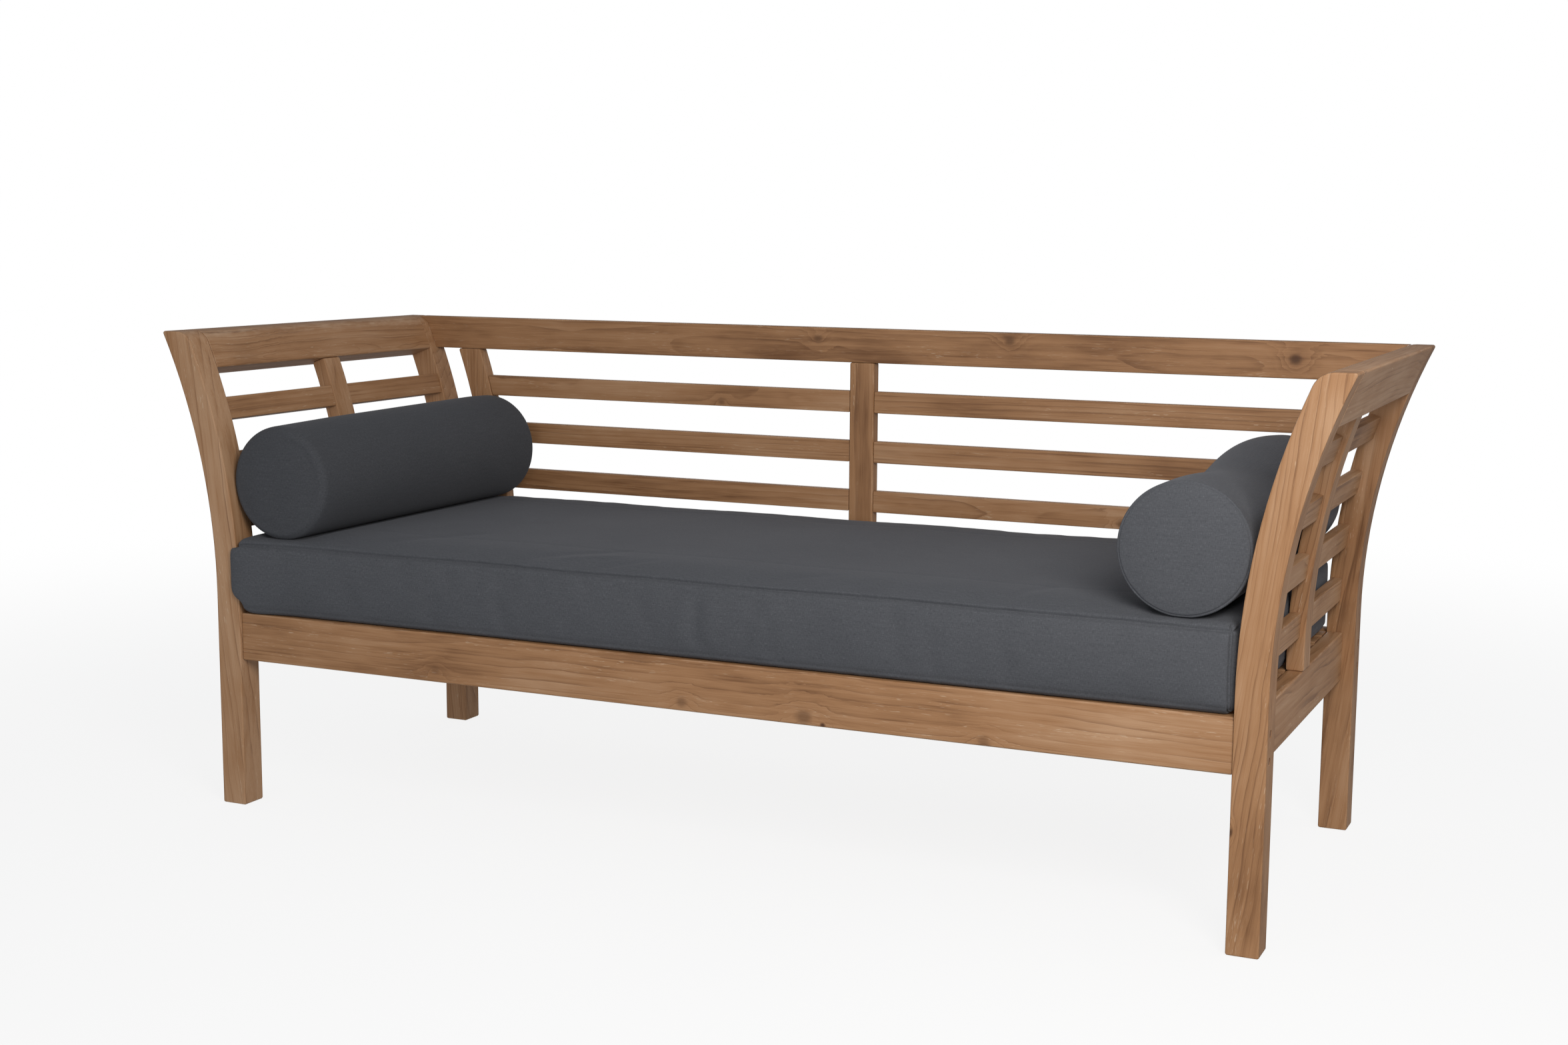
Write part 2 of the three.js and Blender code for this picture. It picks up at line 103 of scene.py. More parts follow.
def make_stage():
    """A white studio: a floor that fades to the white of the surroundings, and a dim even light."""
    scene = bpy.context.scene
    scene.view_settings.view_transform = "Standard"
    world = bpy.data.worlds.new("studio")
    world.use_nodes = True
    world.node_tree.nodes.clear()
    n = Nodes(world.node_tree)
    backdrop = n.add("ShaderNodeBackground")
    backdrop.inputs["Color"].default_value = (1.0, 1.0, 1.0, 1.0)
    ambient = n.add("ShaderNodeBackground")
    ambient.inputs["Color"].default_value = (*AMBIENT_TINT, 1.0)
    ambient.inputs["Strength"].default_value = AMBIENT_STRENGTH
    mix = n.add("ShaderNodeMixShader")
    n.link(n.add("ShaderNodeLightPath").outputs["Is Camera Ray"], mix.inputs[0])
    n.link(ambient.outputs[0], mix.inputs[1])
    n.link(backdrop.outputs[0], mix.inputs[2])
    n.link(mix.outputs[0], n.add("ShaderNodeOutputWorld").inputs["Surface"])
    scene.world = world
    material, n = new_material("studio_floor")
    place = n.add("ShaderNodeNewGeometry").outputs["Position"]
    away = n.vector("LENGTH", place)
    matte = n.add("ShaderNodeBsdfDiffuse")
    matte.inputs["Color"].default_value = (*FLOOR_COLOUR, 1.0)
    glow = n.add("ShaderNodeEmission")
    glow.inputs["Strength"].default_value = 1.0
    mix = n.add("ShaderNodeMixShader")
    n.link(n.ramp(away, *FLOOR_FADE, FLOOR_GLOW, 1.0), mix.inputs[0])
    n.link(matte.outputs[0], mix.inputs[1])
    n.link(glow.outputs[0], mix.inputs[2])
    n.link(mix.outputs[0], n.add("ShaderNodeOutputMaterial").inputs["Surface"])
    corners = [(x * FLOOR_REACH, y * FLOOR_REACH, 0.0) for x, y in ((-1, -1), (1, -1), (1, 1), (-1, 1))]
    mesh = bpy.data.meshes.new("studio_floor")
    mesh.from_pydata(corners, [], [(0, 1, 2, 3)])
    mesh.materials.append(material)
    floor = bpy.data.objects.new("studio_floor", mesh)
    floor.location.z = -FLOOR_DROP
    floor.visible_diffuse = False
    floor.visible_glossy = False
    scene.collection.objects.link(floor)


# ---------------------------------------------------------------- a short hand for shader nodes


class Nodes:
    """Adds and links nodes in one tree. A value may be a number, a vector or an output."""

    def __init__(self, tree):
        self.tree = tree

    def add(self, kind, **settings):
        node = self.tree.nodes.new(kind)
        for name, value in settings.items():
            setattr(node, name, value)
        return node

    def link(self, value, socket):
        if isinstance(value, bpy.types.NodeSocket):
            self.tree.links.new(value, socket)
        elif value is not None:
            socket.default_value = value

    def math(self, operation, a, b=None):
        node = self.add("ShaderNodeMath", operation=operation)
        self.link(a, node.inputs[0])
        self.link(b, node.inputs[1])
        return node.outputs[0]

    def plus(self, a, b):
        return self.math("ADD", a, b)

    def minus(self, a, b):
        return self.math("SUBTRACT", a, b)

    def times(self, a, b):
        return self.math("MULTIPLY", a, b)

    def vector(self, operation, a, b=None):
        node = self.add("ShaderNodeVectorMath", operation=operation)
        self.link(a, node.inputs[0])
        self.link(b, node.inputs[1])
        return node.outputs["Value" if operation in ("LENGTH", "DOT_PRODUCT") else "Vector"]

    def split(self, vector):
        node = self.add("ShaderNodeSeparateXYZ")
        self.link(vector, node.inputs[0])
        return node.outputs[0], node.outputs[1], node.outputs[2]

    def join(self, x, y, z):
        node = self.add("ShaderNodeCombineXYZ")
        for value, socket in zip((x, y, z), node.inputs):
            self.link(value, socket)
        return node.outputs[0]

    def noise(self, vector, scale, seed=0.0, detail=2.0, rough=0.5):
        """Noise from 0 to 1 whose scale is given along each axis, in features per metre."""
        node = self.add("ShaderNodeTexNoise", noise_dimensions="4D")
        self.link(self.vector("MULTIPLY", vector, scale), node.inputs["Vector"])
        self.link(seed, node.inputs["W"])
        node.inputs["Scale"].default_value = 1.0
        node.inputs["Detail"].default_value = detail
        node.inputs["Roughness"].default_value = rough
        return node.outputs["Fac"]

    def ramp(self, value, low, high, out_low=0.0, out_high=1.0):
        """Goes smoothly from out_low to out_high while value goes from low to high."""
        node = self.add("ShaderNodeMapRange", interpolation_type="SMOOTHSTEP")
        self.link(value, node.inputs["Value"])
        ends = {"From Min": low, "From Max": high, "To Min": out_low, "To Max": out_high}
        for name, number in ends.items():
            self.link(number, node.inputs[name])
        return node.outputs["Result"]

    def mix(self, factor, a, b):
        """Blends two colours, each an output or a tuple of three."""
        node = self.add("ShaderNodeMix", data_type="RGBA")
        self.link(factor, node.inputs["Factor"])
        colours = [s for s in node.inputs if s.type == "RGBA"]
        self.link(a if not isinstance(a, tuple) else (*a, 1.0), colours[0])
        self.link(b if not isinstance(b, tuple) else (*b, 1.0), colours[1])
        return [s for s in node.outputs if s.type == "RGBA"][0]


def new_group(name, inputs, outputs):
    """A node group. Returns its nodes, its given values and its results' sockets."""
    tree = bpy.data.node_groups.new(name, "ShaderNodeTree")
    for label, kind in inputs:
        tree.interface.new_socket(label, in_out="INPUT", socket_type=kind)
    for label, kind in outputs:
        tree.interface.new_socket(label, in_out="OUTPUT", socket_type=kind)
    n = Nodes(tree)
    return n, n.add("NodeGroupInput").outputs, n.add("NodeGroupOutput").inputs


def new_material(name):
    """An empty node material. Returns it and its nodes."""
    material = bpy.data.materials.new(name)
    material.use_nodes = True
    material.node_tree.nodes.clear()
    return material, Nodes(material.node_tree)


def finish_material(n, shader, height, strength, distance):
    """Adds the bump that height gives, and the output."""
    bump = n.add("ShaderNodeBump")
    bump.inputs["Strength"].default_value = strength
    bump.inputs["Distance"].default_value = distance
    n.link(height, bump.inputs["Height"])
    n.link(bump.outputs["Normal"], shader.inputs["Normal"])
    n.link(shader.outputs[0], n.add("ShaderNodeOutputMaterial").inputs["Surface"])


# ---------------------------------------------------------------- teak

TEAK_LIGHT = (0.50, 0.298, 0.168)
TEAK_MIDDLE = (0.380, 0.194, 0.088)
TEAK_DARK = (0.185, 0.080, 0.030)
TEAK_PORE = (0.66, 0.49, 0.34)
TEAK_LINE = (0.115, 0.046, 0.018)
KNOT_COLOUR = (0.075, 0.030, 0.012)
# Pale edges: partly wear, partly a painted highlight.
EDGE_WEAR_AND_HIGHLIGHT = (0.60, 0.41, 0.27)


def make_teak_group():
    """Teak for a board whose grain runs along X and whose centre is at 0.

    Growth rings lie around a pith line beside the board. Stretched noise bends and breaks them, and
    gives the fibres, the pale open pores and the slow changes of tone.
    """
    n, given, result = new_group(
        "teak_grain",
        [("Grain", "NodeSocketVector"), ("Seed", "NodeSocketFloat"), ("Pith", "NodeSocketVector"),
         ("Ring", "NodeSocketFloat"), ("Swirl", "NodeSocketFloat"), ("Tone", "NodeSocketFloat")],
        [("Color", "NodeSocketColor"), ("Roughness", "NodeSocketFloat"), ("Height", "NodeSocketFloat")],
    )
    grain, seed, pith = given["Grain"], given["Seed"], given["Pith"]
    sway = n.noise(grain, (1.6, 6.0, 6.0), seed, 2.0, 0.5)
    wave = n.noise(grain, (9.0, 34.0, 34.0), seed, 2.0, 0.55)
    _, y, z = n.split(n.vector("ADD", grain, pith))
    shift = n.times(n.minus(sway, 0.5), 0.090)
    shift = n.plus(shift, n.times(n.minus(wave, 0.5), 0.011))
    across = n.vector("LENGTH", n.join(0.0, n.plus(y, shift), z))
    across = n.plus(across, given["Swirl"])
    uneven = n.noise(n.join(across, 0.0, 0.0), (70.0, 1.0, 1.0), seed, 2.0, 0.6)
    turns = n.times(across, given["Ring"])
    turns = n.plus(turns, n.times(uneven, 3.2))
    turn = n.math("FRACT", turns)
    late = n.times(n.math("POWER", turn, 7.0), n.ramp(turn, 1.0, 0.95))
    soft_late = n.times(n.math("POWER", turn, 1.8), n.ramp(turn, 1.0, 0.86))
    strength = n.noise(grain, (5.0, 55.0, 55.0), n.plus(seed, 7.3), 2.0, 0.55)
    late = n.times(late, n.ramp(strength, 0.40, 0.64))
    streak = n.noise(grain, (3.0, 110.0, 110.0), seed, 3.0, 0.6)
    fibre = n.noise(grain, (22.0, 900.0, 900.0), seed, 2.0, 0.6)
    blotch = n.noise(grain, (3.4, 11.0, 11.0), n.plus(seed, 3.1), 3.0, 0.6)
    flame = n.noise(grain, (11.0, 24.0, 24.0), n.plus(seed, 17.0), 2.0, 0.5)
    early = n.ramp(turn, 0.62, 0.05)
    dash = n.noise(grain, (70.0, 640.0, 640.0), n.plus(seed, 11.0), 1.0, 0.4)
    pore = n.times(n.ramp(dash, 0.62, 0.70), n.plus(n.times(early, 0.7), 0.3))
    patch = n.noise(grain, (5.0, 60.0, 60.0), n.plus(seed, 5.0), 1.0, 0.5)
    pore = n.times(pore, n.ramp(patch, 0.45, 0.66, 0.05, 1.0))
    hair = n.noise(grain, (8.0, 300.0, 300.0), n.plus(seed, 23.0), 2.0, 0.6)
    tone = n.plus(n.times(blotch, 1.25), n.times(streak, 0.72))
    tone = n.plus(tone, n.times(fibre, 0.40))
    tone = n.plus(tone, n.times(flame, 0.34))
    tone = n.minus(tone, n.times(n.ramp(hair, 0.52, 0.72), 0.15))
    tone = n.plus(n.minus(tone, 0.955), given["Tone"])
    tone = n.minus(tone, n.times(soft_late, 0.17))
    low = n.mix(n.ramp(tone, -0.22, 0.34), TEAK_DARK, TEAK_MIDDLE)
    colour = n.mix(n.ramp(tone, 0.22, 0.80), low, TEAK_LIGHT)
    colour = n.mix(n.times(late, 0.80), colour, TEAK_LINE)
    colour = n.mix(n.times(pore, 0.62), colour, TEAK_PORE)
    n.link(colour, result["Color"])
    rough = n.plus(n.times(fibre, 0.22), n.times(pore, 0.18))
    n.link(n.plus(rough, 0.42), result["Roughness"])
    height = n.plus(n.times(fibre, 0.5), n.times(streak, 0.5))
    height = n.minus(height, n.times(pore, 0.55))
    n.link(n.minus(height, n.times(late, 0.35)), result["Height"])
    return n.tree


def make_knot_group():
    """A knot: how far it pushes the rings aside, and how dark it is, at a point of a board."""
    n, given, result = new_group(
        "teak_knot",
        [("Grain", "NodeSocketVector"), ("Centre", "NodeSocketVector"), ("Radius", "NodeSocketFloat"),
         ("Push", "NodeSocketFloat"), ("Dark", "NodeSocketFloat")],
        [("Swirl", "NodeSocketFloat"), ("Mask", "NodeSocketFloat")],
    )
    apart = n.vector("SUBTRACT", given["Grain"], given["Centre"])
    uneven = n.noise(given["Grain"], (60.0, 120.0, 120.0), 1.7, 2.0, 0.5)
    x, y, z = n.split(apart)
    along = n.times(x, 0.42)
    far = n.vector("LENGTH", n.join(along, y, n.times(z, 0.5)))
    far = n.times(far, n.plus(n.times(uneven, 0.9), 0.55))
    ratio = n.math("DIVIDE", far, given["Radius"])
    squared = n.math("POWER", n.times(ratio, 0.42), 2.0)
    fall = n.math("POWER", 2.718, n.times(squared, -1.0))
    n.link(n.times(fall, given["Push"]), result["Swirl"])
    core = n.ramp(ratio, 1.25, 0.25)
    n.link(n.times(core, given["Dark"]), result["Mask"])
    return n.tree


def teak(name, along, centre, tilt=0.0, seed=0.0, tone=0.0, rings=170.0, pith=(0.0, 0.09, 0.05),
         knots=()):
    """A teak material. along is the board's grain axis, tilt leans it about Y, centre is its middle.

    A knot is (point on the board, radius, push, darkness), with the point in the model's frame.
    """
    material, n = new_material(name)
    source = n.add("ShaderNodeTexCoord")
    turn = Matrix.Rotation(tilt, 3, "Y")
    axes = {"x": (0, 1, 2), "y": (1, 0, 2), "z": (2, 0, 1)}[along]
    ends = [turn @ Vector([float(i == k) for i in range(3)]) for k in axes]

    def to_grain(vector):
        return n.join(*[n.vector("DOT_PRODUCT", vector, tuple(end)) for end in ends])

    grain = to_grain(n.vector("SUBTRACT", source.outputs["Object"], tuple(centre)))
    facing = to_grain(source.outputs["Normal"])
    swirl, mask = 0.0, 0.0
    for at, radius, push, dark in knots:
        apart = Vector(at) - Vector(centre)
        knot = n.add("ShaderNodeGroup", node_tree=KNOT)
        n.link(grain, knot.inputs["Grain"])
        knot.inputs["Centre"].default_value = [apart.dot(end) for end in ends]
        knot.inputs["Radius"].default_value = radius
        knot.inputs["Push"].default_value = push
        knot.inputs["Dark"].default_value = dark
        swirl = n.plus(knot.outputs["Swirl"], swirl)
        mask = n.math("MAXIMUM", knot.outputs["Mask"], mask)
    wood = n.add("ShaderNodeGroup", node_tree=TEAK)
    n.link(grain, wood.inputs["Grain"])
    n.link(swirl, wood.inputs["Swirl"])
    wood.inputs["Seed"].default_value = seed
    wood.inputs["Pith"].default_value = pith
    wood.inputs["Ring"].default_value = rings
    wood.inputs["Tone"].default_value = tone
    colour = n.mix(mask, wood.outputs["Color"], KNOT_COLOUR) if knots else wood.outputs["Color"]
    squares = [n.math("POWER", part, 2.0) for part in n.split(facing)]
    # A swept post's faces turn between its first two axes, so only its corners count as edges.
    pair = "ADD" if along == "z" else "MAXIMUM"
    flat = n.math("MAXIMUM", n.math(pair, squares[0], squares[1]), squares[2])
    edge = n.ramp(flat, 0.97, 0.60)
    # Pale patches along the edges: partly wear, partly a painted highlight where the edges catch the
    # light.
    wear_and_highlight_noise = n.noise(grain, (30.0, 90.0, 90.0), seed, 2.0, 0.6)
    wear_and_highlight = n.times(n.times(edge, n.ramp(wear_and_highlight_noise, 0.40, 0.70)), 0.45)
    colour = n.mix(wear_and_highlight, colour, EDGE_WEAR_AND_HIGHLIGHT)
    if along != "z":
        end_grain = n.ramp(squares[0], 0.55, 0.9)
        colour = n.mix(n.times(end_grain, 0.5), colour, TEAK_DARK)
    shader = n.add("ShaderNodeBsdfPrincipled")
    n.link(colour, shader.inputs["Base Color"])
    n.link(wood.outputs["Roughness"], shader.inputs["Roughness"])
    shader.inputs["Specular IOR Level"].default_value = 0.35
    finish_material(n, shader, wood.outputs["Height"], strength=0.55, distance=0.0004)
    return material


# ---------------------------------------------------------------- fabric

FABRIC_DARK = (0.052, 0.055, 0.062)
FABRIC_MIDDLE = (0.080, 0.083, 0.092)
FABRIC_LIGHT = (0.125, 0.129, 0.142)
THREAD_PITCH = 0.0011


def make_fabric_group():
    """A heathered plain weave laid out on two lengths, U and V, in metres."""
    n, given, result = new_group(
        "heathered_weave",
        [("Weave", "NodeSocketVector"), ("Tone", "NodeSocketFloat")],
        [("Color", "NodeSocketColor"), ("Roughness", "NodeSocketFloat"), ("Height", "NodeSocketFloat")],
    )
    weave = given["Weave"]
    pitch = 1.0 / THREAD_PITCH
    u, v, _ = n.split(weave)
    warp = n.math("ABSOLUTE", n.math("SINE", n.times(u, math.pi * pitch)))
    weft = n.math("ABSOLUTE", n.math("SINE", n.times(v, math.pi * pitch)))
    flecks_u = n.noise(weave, (170.0, 1100.0, 1.0), 0.0, 2.0, 0.6)
    flecks_v = n.noise(weave, (1100.0, 170.0, 1.0), 4.0, 2.0, 0.6)
    slub = n.noise(weave, (24.0, 420.0, 1.0), 8.0, 1.0, 0.5)
    cloud = n.noise(weave, (9.0, 9.0, 1.0), 2.0, 3.0, 0.55)
    mixed = n.plus(n.times(flecks_u, 0.5), n.times(flecks_v, 0.5))
    mixed = n.plus(mixed, n.times(n.minus(slub, 0.5), 0.16))
    mixed = n.plus(mixed, n.times(n.minus(cloud, 0.5), 0.10))
    low = n.mix(n.ramp(mixed, 0.30, 0.52), FABRIC_DARK, FABRIC_MIDDLE)
    colour = n.mix(n.ramp(mixed, 0.50, 0.74), low, FABRIC_LIGHT)
    tone = n.join(given["Tone"], given["Tone"], given["Tone"])
    n.link(n.vector("MULTIPLY", colour, tone), result["Color"])
    n.link(n.plus(n.times(flecks_u, 0.15), 0.78), result["Roughness"])
    threads = n.times(n.times(warp, weft), 0.5)
    n.link(n.plus(threads, mixed), result["Height"])
    return n.tree


def fabric(name, layout, tone):
    """The slate fabric, tone times as pale as usual. On the bolsters the tone is painted light and
    shade.

    layout turns object coordinates and normals into lengths along the weave.
    """
    material, n = new_material(name)
    source = n.add("ShaderNodeTexCoord")
    cloth = n.add("ShaderNodeGroup", node_tree=WEAVE)
    cloth.inputs["Tone"].default_value = tone
    n.link(layout(n, source.outputs["Object"], source.outputs["Normal"]), cloth.inputs["Weave"])
    shader = n.add("ShaderNodeBsdfPrincipled")
    n.link(cloth.outputs["Color"], shader.inputs["Base Color"])
    n.link(cloth.outputs["Roughness"], shader.inputs["Roughness"])
    shader.inputs["Specular IOR Level"].default_value = 0.15
    shader.inputs["Sheen Weight"].default_value = 0.09
    shader.inputs["Sheen Roughness"].default_value = 0.5
    shader.inputs["Sheen Tint"].default_value = (0.75, 0.78, 0.85, 1.0)
    finish_material(n, shader, cloth.outputs["Height"], strength=0.35, distance=0.0003)
    return material


def lay_flat(n, place, normal):
    """Each face of a block takes the two coordinates that it runs along."""
    x, y, z = n.split(place)
    a, b, c = [n.math("ABSOLUTE", part) for part in n.split(normal)]
    up = n.times(n.math("GREATER_THAN", c, a), n.math("GREATER_THAN", c, b))
    side = n.math("GREATER_THAN", a, b)
    first = n.plus(x, n.times(side, n.minus(y, x)))
    first = n.plus(first, n.times(up, n.minus(x, first)))
    second = n.plus(z, n.times(up, n.minus(y, z)))
    return n.join(first, second, 0.0)


def lay_round(centre_x, centre_z, radius):
    """The side of a bolster unrolls about its axis, and its caps lie flat."""

    def layout(n, place, normal):
        x, y, z = n.split(place)
        facing_end = n.math("ABSOLUTE", n.split(normal)[1])
        out = n.minus(x, centre_x)
        over = n.minus(z, centre_z)
        angle = n.times(n.math("ARCTAN2", out, over), radius)
        cap = n.math("GREATER_THAN", facing_end, 0.72)
        first = n.plus(y, n.times(cap, n.minus(out, y)))
        second = n.plus(angle, n.times(cap, n.minus(over, angle)))
        return n.join(first, second, 0.0)

    return layout


# ---------------------------------------------------------------- the wooden frame

WELD_DISTANCE = 0.00002
SHARP_ANGLE = math.radians(44.0)
LEG_LEAN = math.radians(7.0)
STILE_LEAN = math.radians(11.0)
SOFT_NODES = ("mattress", "bolster_left", "bolster_right")


def make_smoothing():
    """Geometry nodes that join a CAD node's split corners and shade it smooth under an angle."""
    tree = bpy.data.node_groups.new("smooth_by_angle", "GeometryNodeTree")
    tree.interface.new_socket("Geometry", in_out="INPUT", socket_type="NodeSocketGeometry")
    tree.interface.new_socket("Geometry", in_out="OUTPUT", socket_type="NodeSocketGeometry")
    n = Nodes(tree)
    start, end = n.add("NodeGroupInput"), n.add("NodeGroupOutput")
    weld = n.add("GeometryNodeMergeByDistance")
    weld.inputs["Distance"].default_value = WELD_DISTANCE
    angle = n.add("GeometryNodeInputMeshEdgeAngle")
    sharp = n.add("FunctionNodeCompare", data_type="FLOAT", operation="LESS_EQUAL")
    sharp.inputs[1].default_value = SHARP_ANGLE
    faces = n.add("GeometryNodeSetShadeSmooth", domain="FACE")
    edges = n.add("GeometryNodeSetShadeSmooth", domain="EDGE")
    n.link(start.outputs[0], weld.inputs["Geometry"])
    n.link(weld.outputs["Geometry"], faces.inputs["Geometry"])
    n.link(faces.outputs["Geometry"], edges.inputs["Geometry"])
    n.link(angle.outputs["Unsigned Angle"], sharp.inputs[0])
    n.link(sharp.outputs[0], edges.inputs["Shade Smooth"])
    n.link(edges.outputs["Geometry"], end.inputs[0])
    return tree


def soften(node):
    """Shades a CAD node smooth but for its sharp edges, and leaves its vertices alone."""
    if "custom_normal" in node.data.attributes:
        node.data.attributes.remove(node.data.attributes["custom_normal"])
    joined = node.modifiers.new("smooth", "NODES")
    joined.node_group = SMOOTHING
    weighted = node.modifiers.new("weighted", "WEIGHTED_NORMAL")
    weighted.keep_sharp = True
    weighted.mode = "FACE_AREA"
    weighted.weight = 50


# Each knot is a point on the wood, its radius, how far it pushes the rings and how dark it is.
KNOTS = {
    "seat_rail_front": [
        ((-0.480, -0.380, 0.291), 0.0040, 0.020, 0.30),
        ((-0.003, -0.380, 0.284), 0.0050, 0.016, 0.45),
        ((0.215, -0.380, 0.283), 0.0070, 0.022, 0.50),
        ((0.248, -0.380, 0.273), 0.0024, 0.006, 0.95),
        ((0.516, -0.380, 0.276), 0.0050, 0.018, 0.40),
    ],
    "top_rail_back": [
        ((-0.092, 0.3565, 0.835), 0.0045, 0.018, 0.45),
        ((0.295, 0.3565, 0.842), 0.0050, 0.022, 0.55),
        ((0.818, 0.3565, 0.826), 0.0055, 0.026, 0.85),
    ],
    "slat_back_right_2": [((0.744, 0.3570, 0.625), 0.0045, 0.016, 0.80)],
    "slat_back_right_3": [((0.517, 0.3570, 0.515), 0.0050, 0.018, 0.70)],
    "slat_back_left_1": [((-0.300, 0.3570, 0.705), 0.0040, 0.014, 0.50)],
    "leg_front_right": [((0.897, -0.385, 0.185), 0.0035, 0.014, 0.85)],
    "leg_back_left": [((-0.935, 0.335, 0.600), 0.0040, 0.015, 0.50)],
    "top_rail_left": [((-0.970, -0.252, 0.812), 0.0200, 0.012, 0.12)],
}


def grain_of(name):
    """The grain axis of a wooden node and how far it leans about Y."""
    side = -1.0 if "left" in name else 1.0
    if name.startswith("leg"):
        return "z", side * LEG_LEAN
    if name.startswith("stile_back"):
        return "z", 0.0
    if name.startswith("stile"):
        return "z", side * STILE_LEAN
    runs_across = ("seat_rail_left", "seat_rail_right", "top_rail_left", "top_rail_right")
    if name in runs_across or name.startswith(("cleat", "slat_left", "slat_right", "bearer")):
        return "y", side * STILE_LEAN if name.startswith(("slat", "top_rail")) else 0.0
    return "x", 0.0


# Painted light and shade: how much paler some boards are made where more light falls on them, and how
# much deeper where they stand in shade, by the start of their names.
BOARD_PAINTED_LIGHT = {
    "top_rail_back": -0.16,
    "stile_back": -0.02,
    "slat_back": -0.05,
    "leg_back": -0.12,
    "slat_left": -0.04,
    "top_rail_left": 0.02,
    "top_rail_right": 0.10,
    "leg_front_right": 0.02,
    "seat_rail_front": 0.01,
    "seat_rail_right": 0.02,
    "leg_front_left": 0.12,
}


def painted_light_of(name):
    for start, tone in BOARD_PAINTED_LIGHT.items():
        if name.startswith(start):
            return tone
    return 0.0


def dress_frame():
    """Gives each wooden node its own cut of teak. The draws stay in this order."""
    draw = random.Random(41)
    for name in sorted(NODES):
        if name in SOFT_NODES:
            continue
        node = NODES[name]
        low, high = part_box(name)
        centre = [(a + b) / 2 for a, b in zip(low, high)]
        along, tilt = grain_of(name)
        around = draw.uniform(0.0, 2.0 * math.pi)
        reach = draw.uniform(0.03, 0.16)
        pith = (0.0, reach * math.cos(around), reach * math.sin(around))
        node.material_slots[0].material = teak(
            "teak_" + name,
            along,
            centre,
            tilt,
            seed=draw.uniform(0.0, 60.0),
            # The tone is a random difference between boards plus the board's painted light or shade.
            tone=draw.uniform(-0.04, 0.04) + painted_light_of(name),
            rings=draw.uniform(70.0, 150.0),
            pith=pith,
            knots=KNOTS.get(name, ()),
        )
        soften(node)


# ---------------------------------------------------------------- cushions

# The cloth that the covers are while they swell.
CLOTH_QUALITY, CLOTH_FRAMES = 5, 20
CLOTH_MASS, CLOTH_PRESSURE = 0.3, 4.0
CLOTH_STIFFNESS, CLOTH_BENDING = 22.0, 2.0
PIN_LEAST = 0.001

# The sweep of the legs, from the CAD: straight up to here, then an arc about a centre outside.
SWEEP_START, SWEEP_HEIGHT = 0.387, 0.45
INNER_RADIUS = 1.156
LEG_INNER = 0.895
LEG_FRONT = -0.385
CLEAR = 0.0007

# The mattress: the rounding of its edges and upright corners, its lattice, and how far back it may go.
MATTRESS_LOW, MATTRESS_HIGH = [np.array(corner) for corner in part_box("mattress")]
MATTRESS_EDGE = 0.018
MATTRESS_CORNER_LEFT, MATTRESS_CORNER_RIGHT = 0.012, 0.016
MATTRESS_CROWN = 0.0028
MATTRESS_BACK = 0.3545
MATTRESS_PITCH, MATTRESS_PITCH_UP = 0.0145, 0.0125
MATTRESS_TONE = 1.06
EDGE_LINES = [0.0, 0.004, 0.009, 0.014, 0.020, 0.028, 0.038]
# How far into the mattress's thickness a face's own shaping reaches.
FRONT_REACH, TOP_REACH = 0.03, 0.02

# The seams run a little below the top edge and above the bottom one, where they are fainter.
SEAM_BELOW, SEAM_DEPTH, SEAM_WIDTH = 0.009, 0.0055, 0.0044
SEAM_BOTTOM_SHARE = 0.2

# The plump front left corner: its rounding end on, how far it spills, and where it starts.
LEFT_TOP_CORNER, LEFT_FOOT_CORNER = 0.028, 0.048
CORNER_SPILL, CORNER_FORWARD = 0.0165, 0.0125
SPILL_FRONT, SPILL_LEFT = (0.29, 0.365), (0.78, 0.894)

# The bolsters: how far they may swell and go back, their caps and their lattice.
BOLSTER_SWELL = 0.009
BOLSTER_BACK = 0.3345
BOLSTER_MARGIN = 0.004
# The left bolster's cover is darkened as painted shade and the right one's lightened as painted light,
# as factors on the fabric's colour.
BOLSTER_PAINTED_LIGHT = {"left": 0.80, "right": 1.08}
CAP_DOME = 0.0045
CAP_CELLS, EDGE_STEPS, BOLSTER_STATIONS = 26, 5, 66


def steps(low, high, offsets, pitch):
    """Positions from low to high: the offsets from both ends, and even steps between them."""
    room = high - low - 2.0 * offsets[-1]
    inner = np.linspace(low + offsets[-1], high - offsets[-1], max(2, round(room / pitch) + 1))
    near = np.array(offsets[:-1])
    return np.concatenate([low + near, inner, (high - near)[::-1]])


def lattice_block(xs, ys, zs):
    """The surface of a block as quads on given lattice lines. Returns points and faces."""
    sizes = (len(xs) - 1, len(ys) - 1, len(zs) - 1)
    points, faces, index = [], [], {}

    def corner(i, j, k):
        if (i, j, k) not in index:
            index[(i, j, k)] = len(points)
            points.append((xs[i], ys[j], zs[k]))
        return index[(i, j, k)]

    for axis in range(3):
        a, b = (axis + 1) % 3, (axis + 2) % 3
        for end in (0, sizes[axis]):
            for i in range(sizes[a]):
                for j in range(sizes[b]):
                    quad = []
                    for di, dj in ((0, 0), (1, 0), (1, 1), (0, 1)):
                        key = [0, 0, 0]
                        key[axis], key[a], key[b] = end, i + di, j + dj
                        quad.append(corner(*key))
                    faces.append(quad if end else quad[::-1])
    return np.array(points), faces


def band(first, second):
    """The quads between two rings of points."""
    turned = first[1:] + first[:1], second[1:] + second[:1]
    return [[a, b, d, c] for a, b, c, d in zip(first, second, *turned)]


def new_piece(name, points, faces, material):
    mesh = bpy.data.meshes.new(name)
    mesh.from_pydata([tuple(p) for p in points], [], faces)
    mesh.materials.append(material)
    mesh.shade_smooth()
    piece = bpy.data.objects.new(name, mesh)
    bpy.context.scene.collection.objects.link(piece)
    return piece


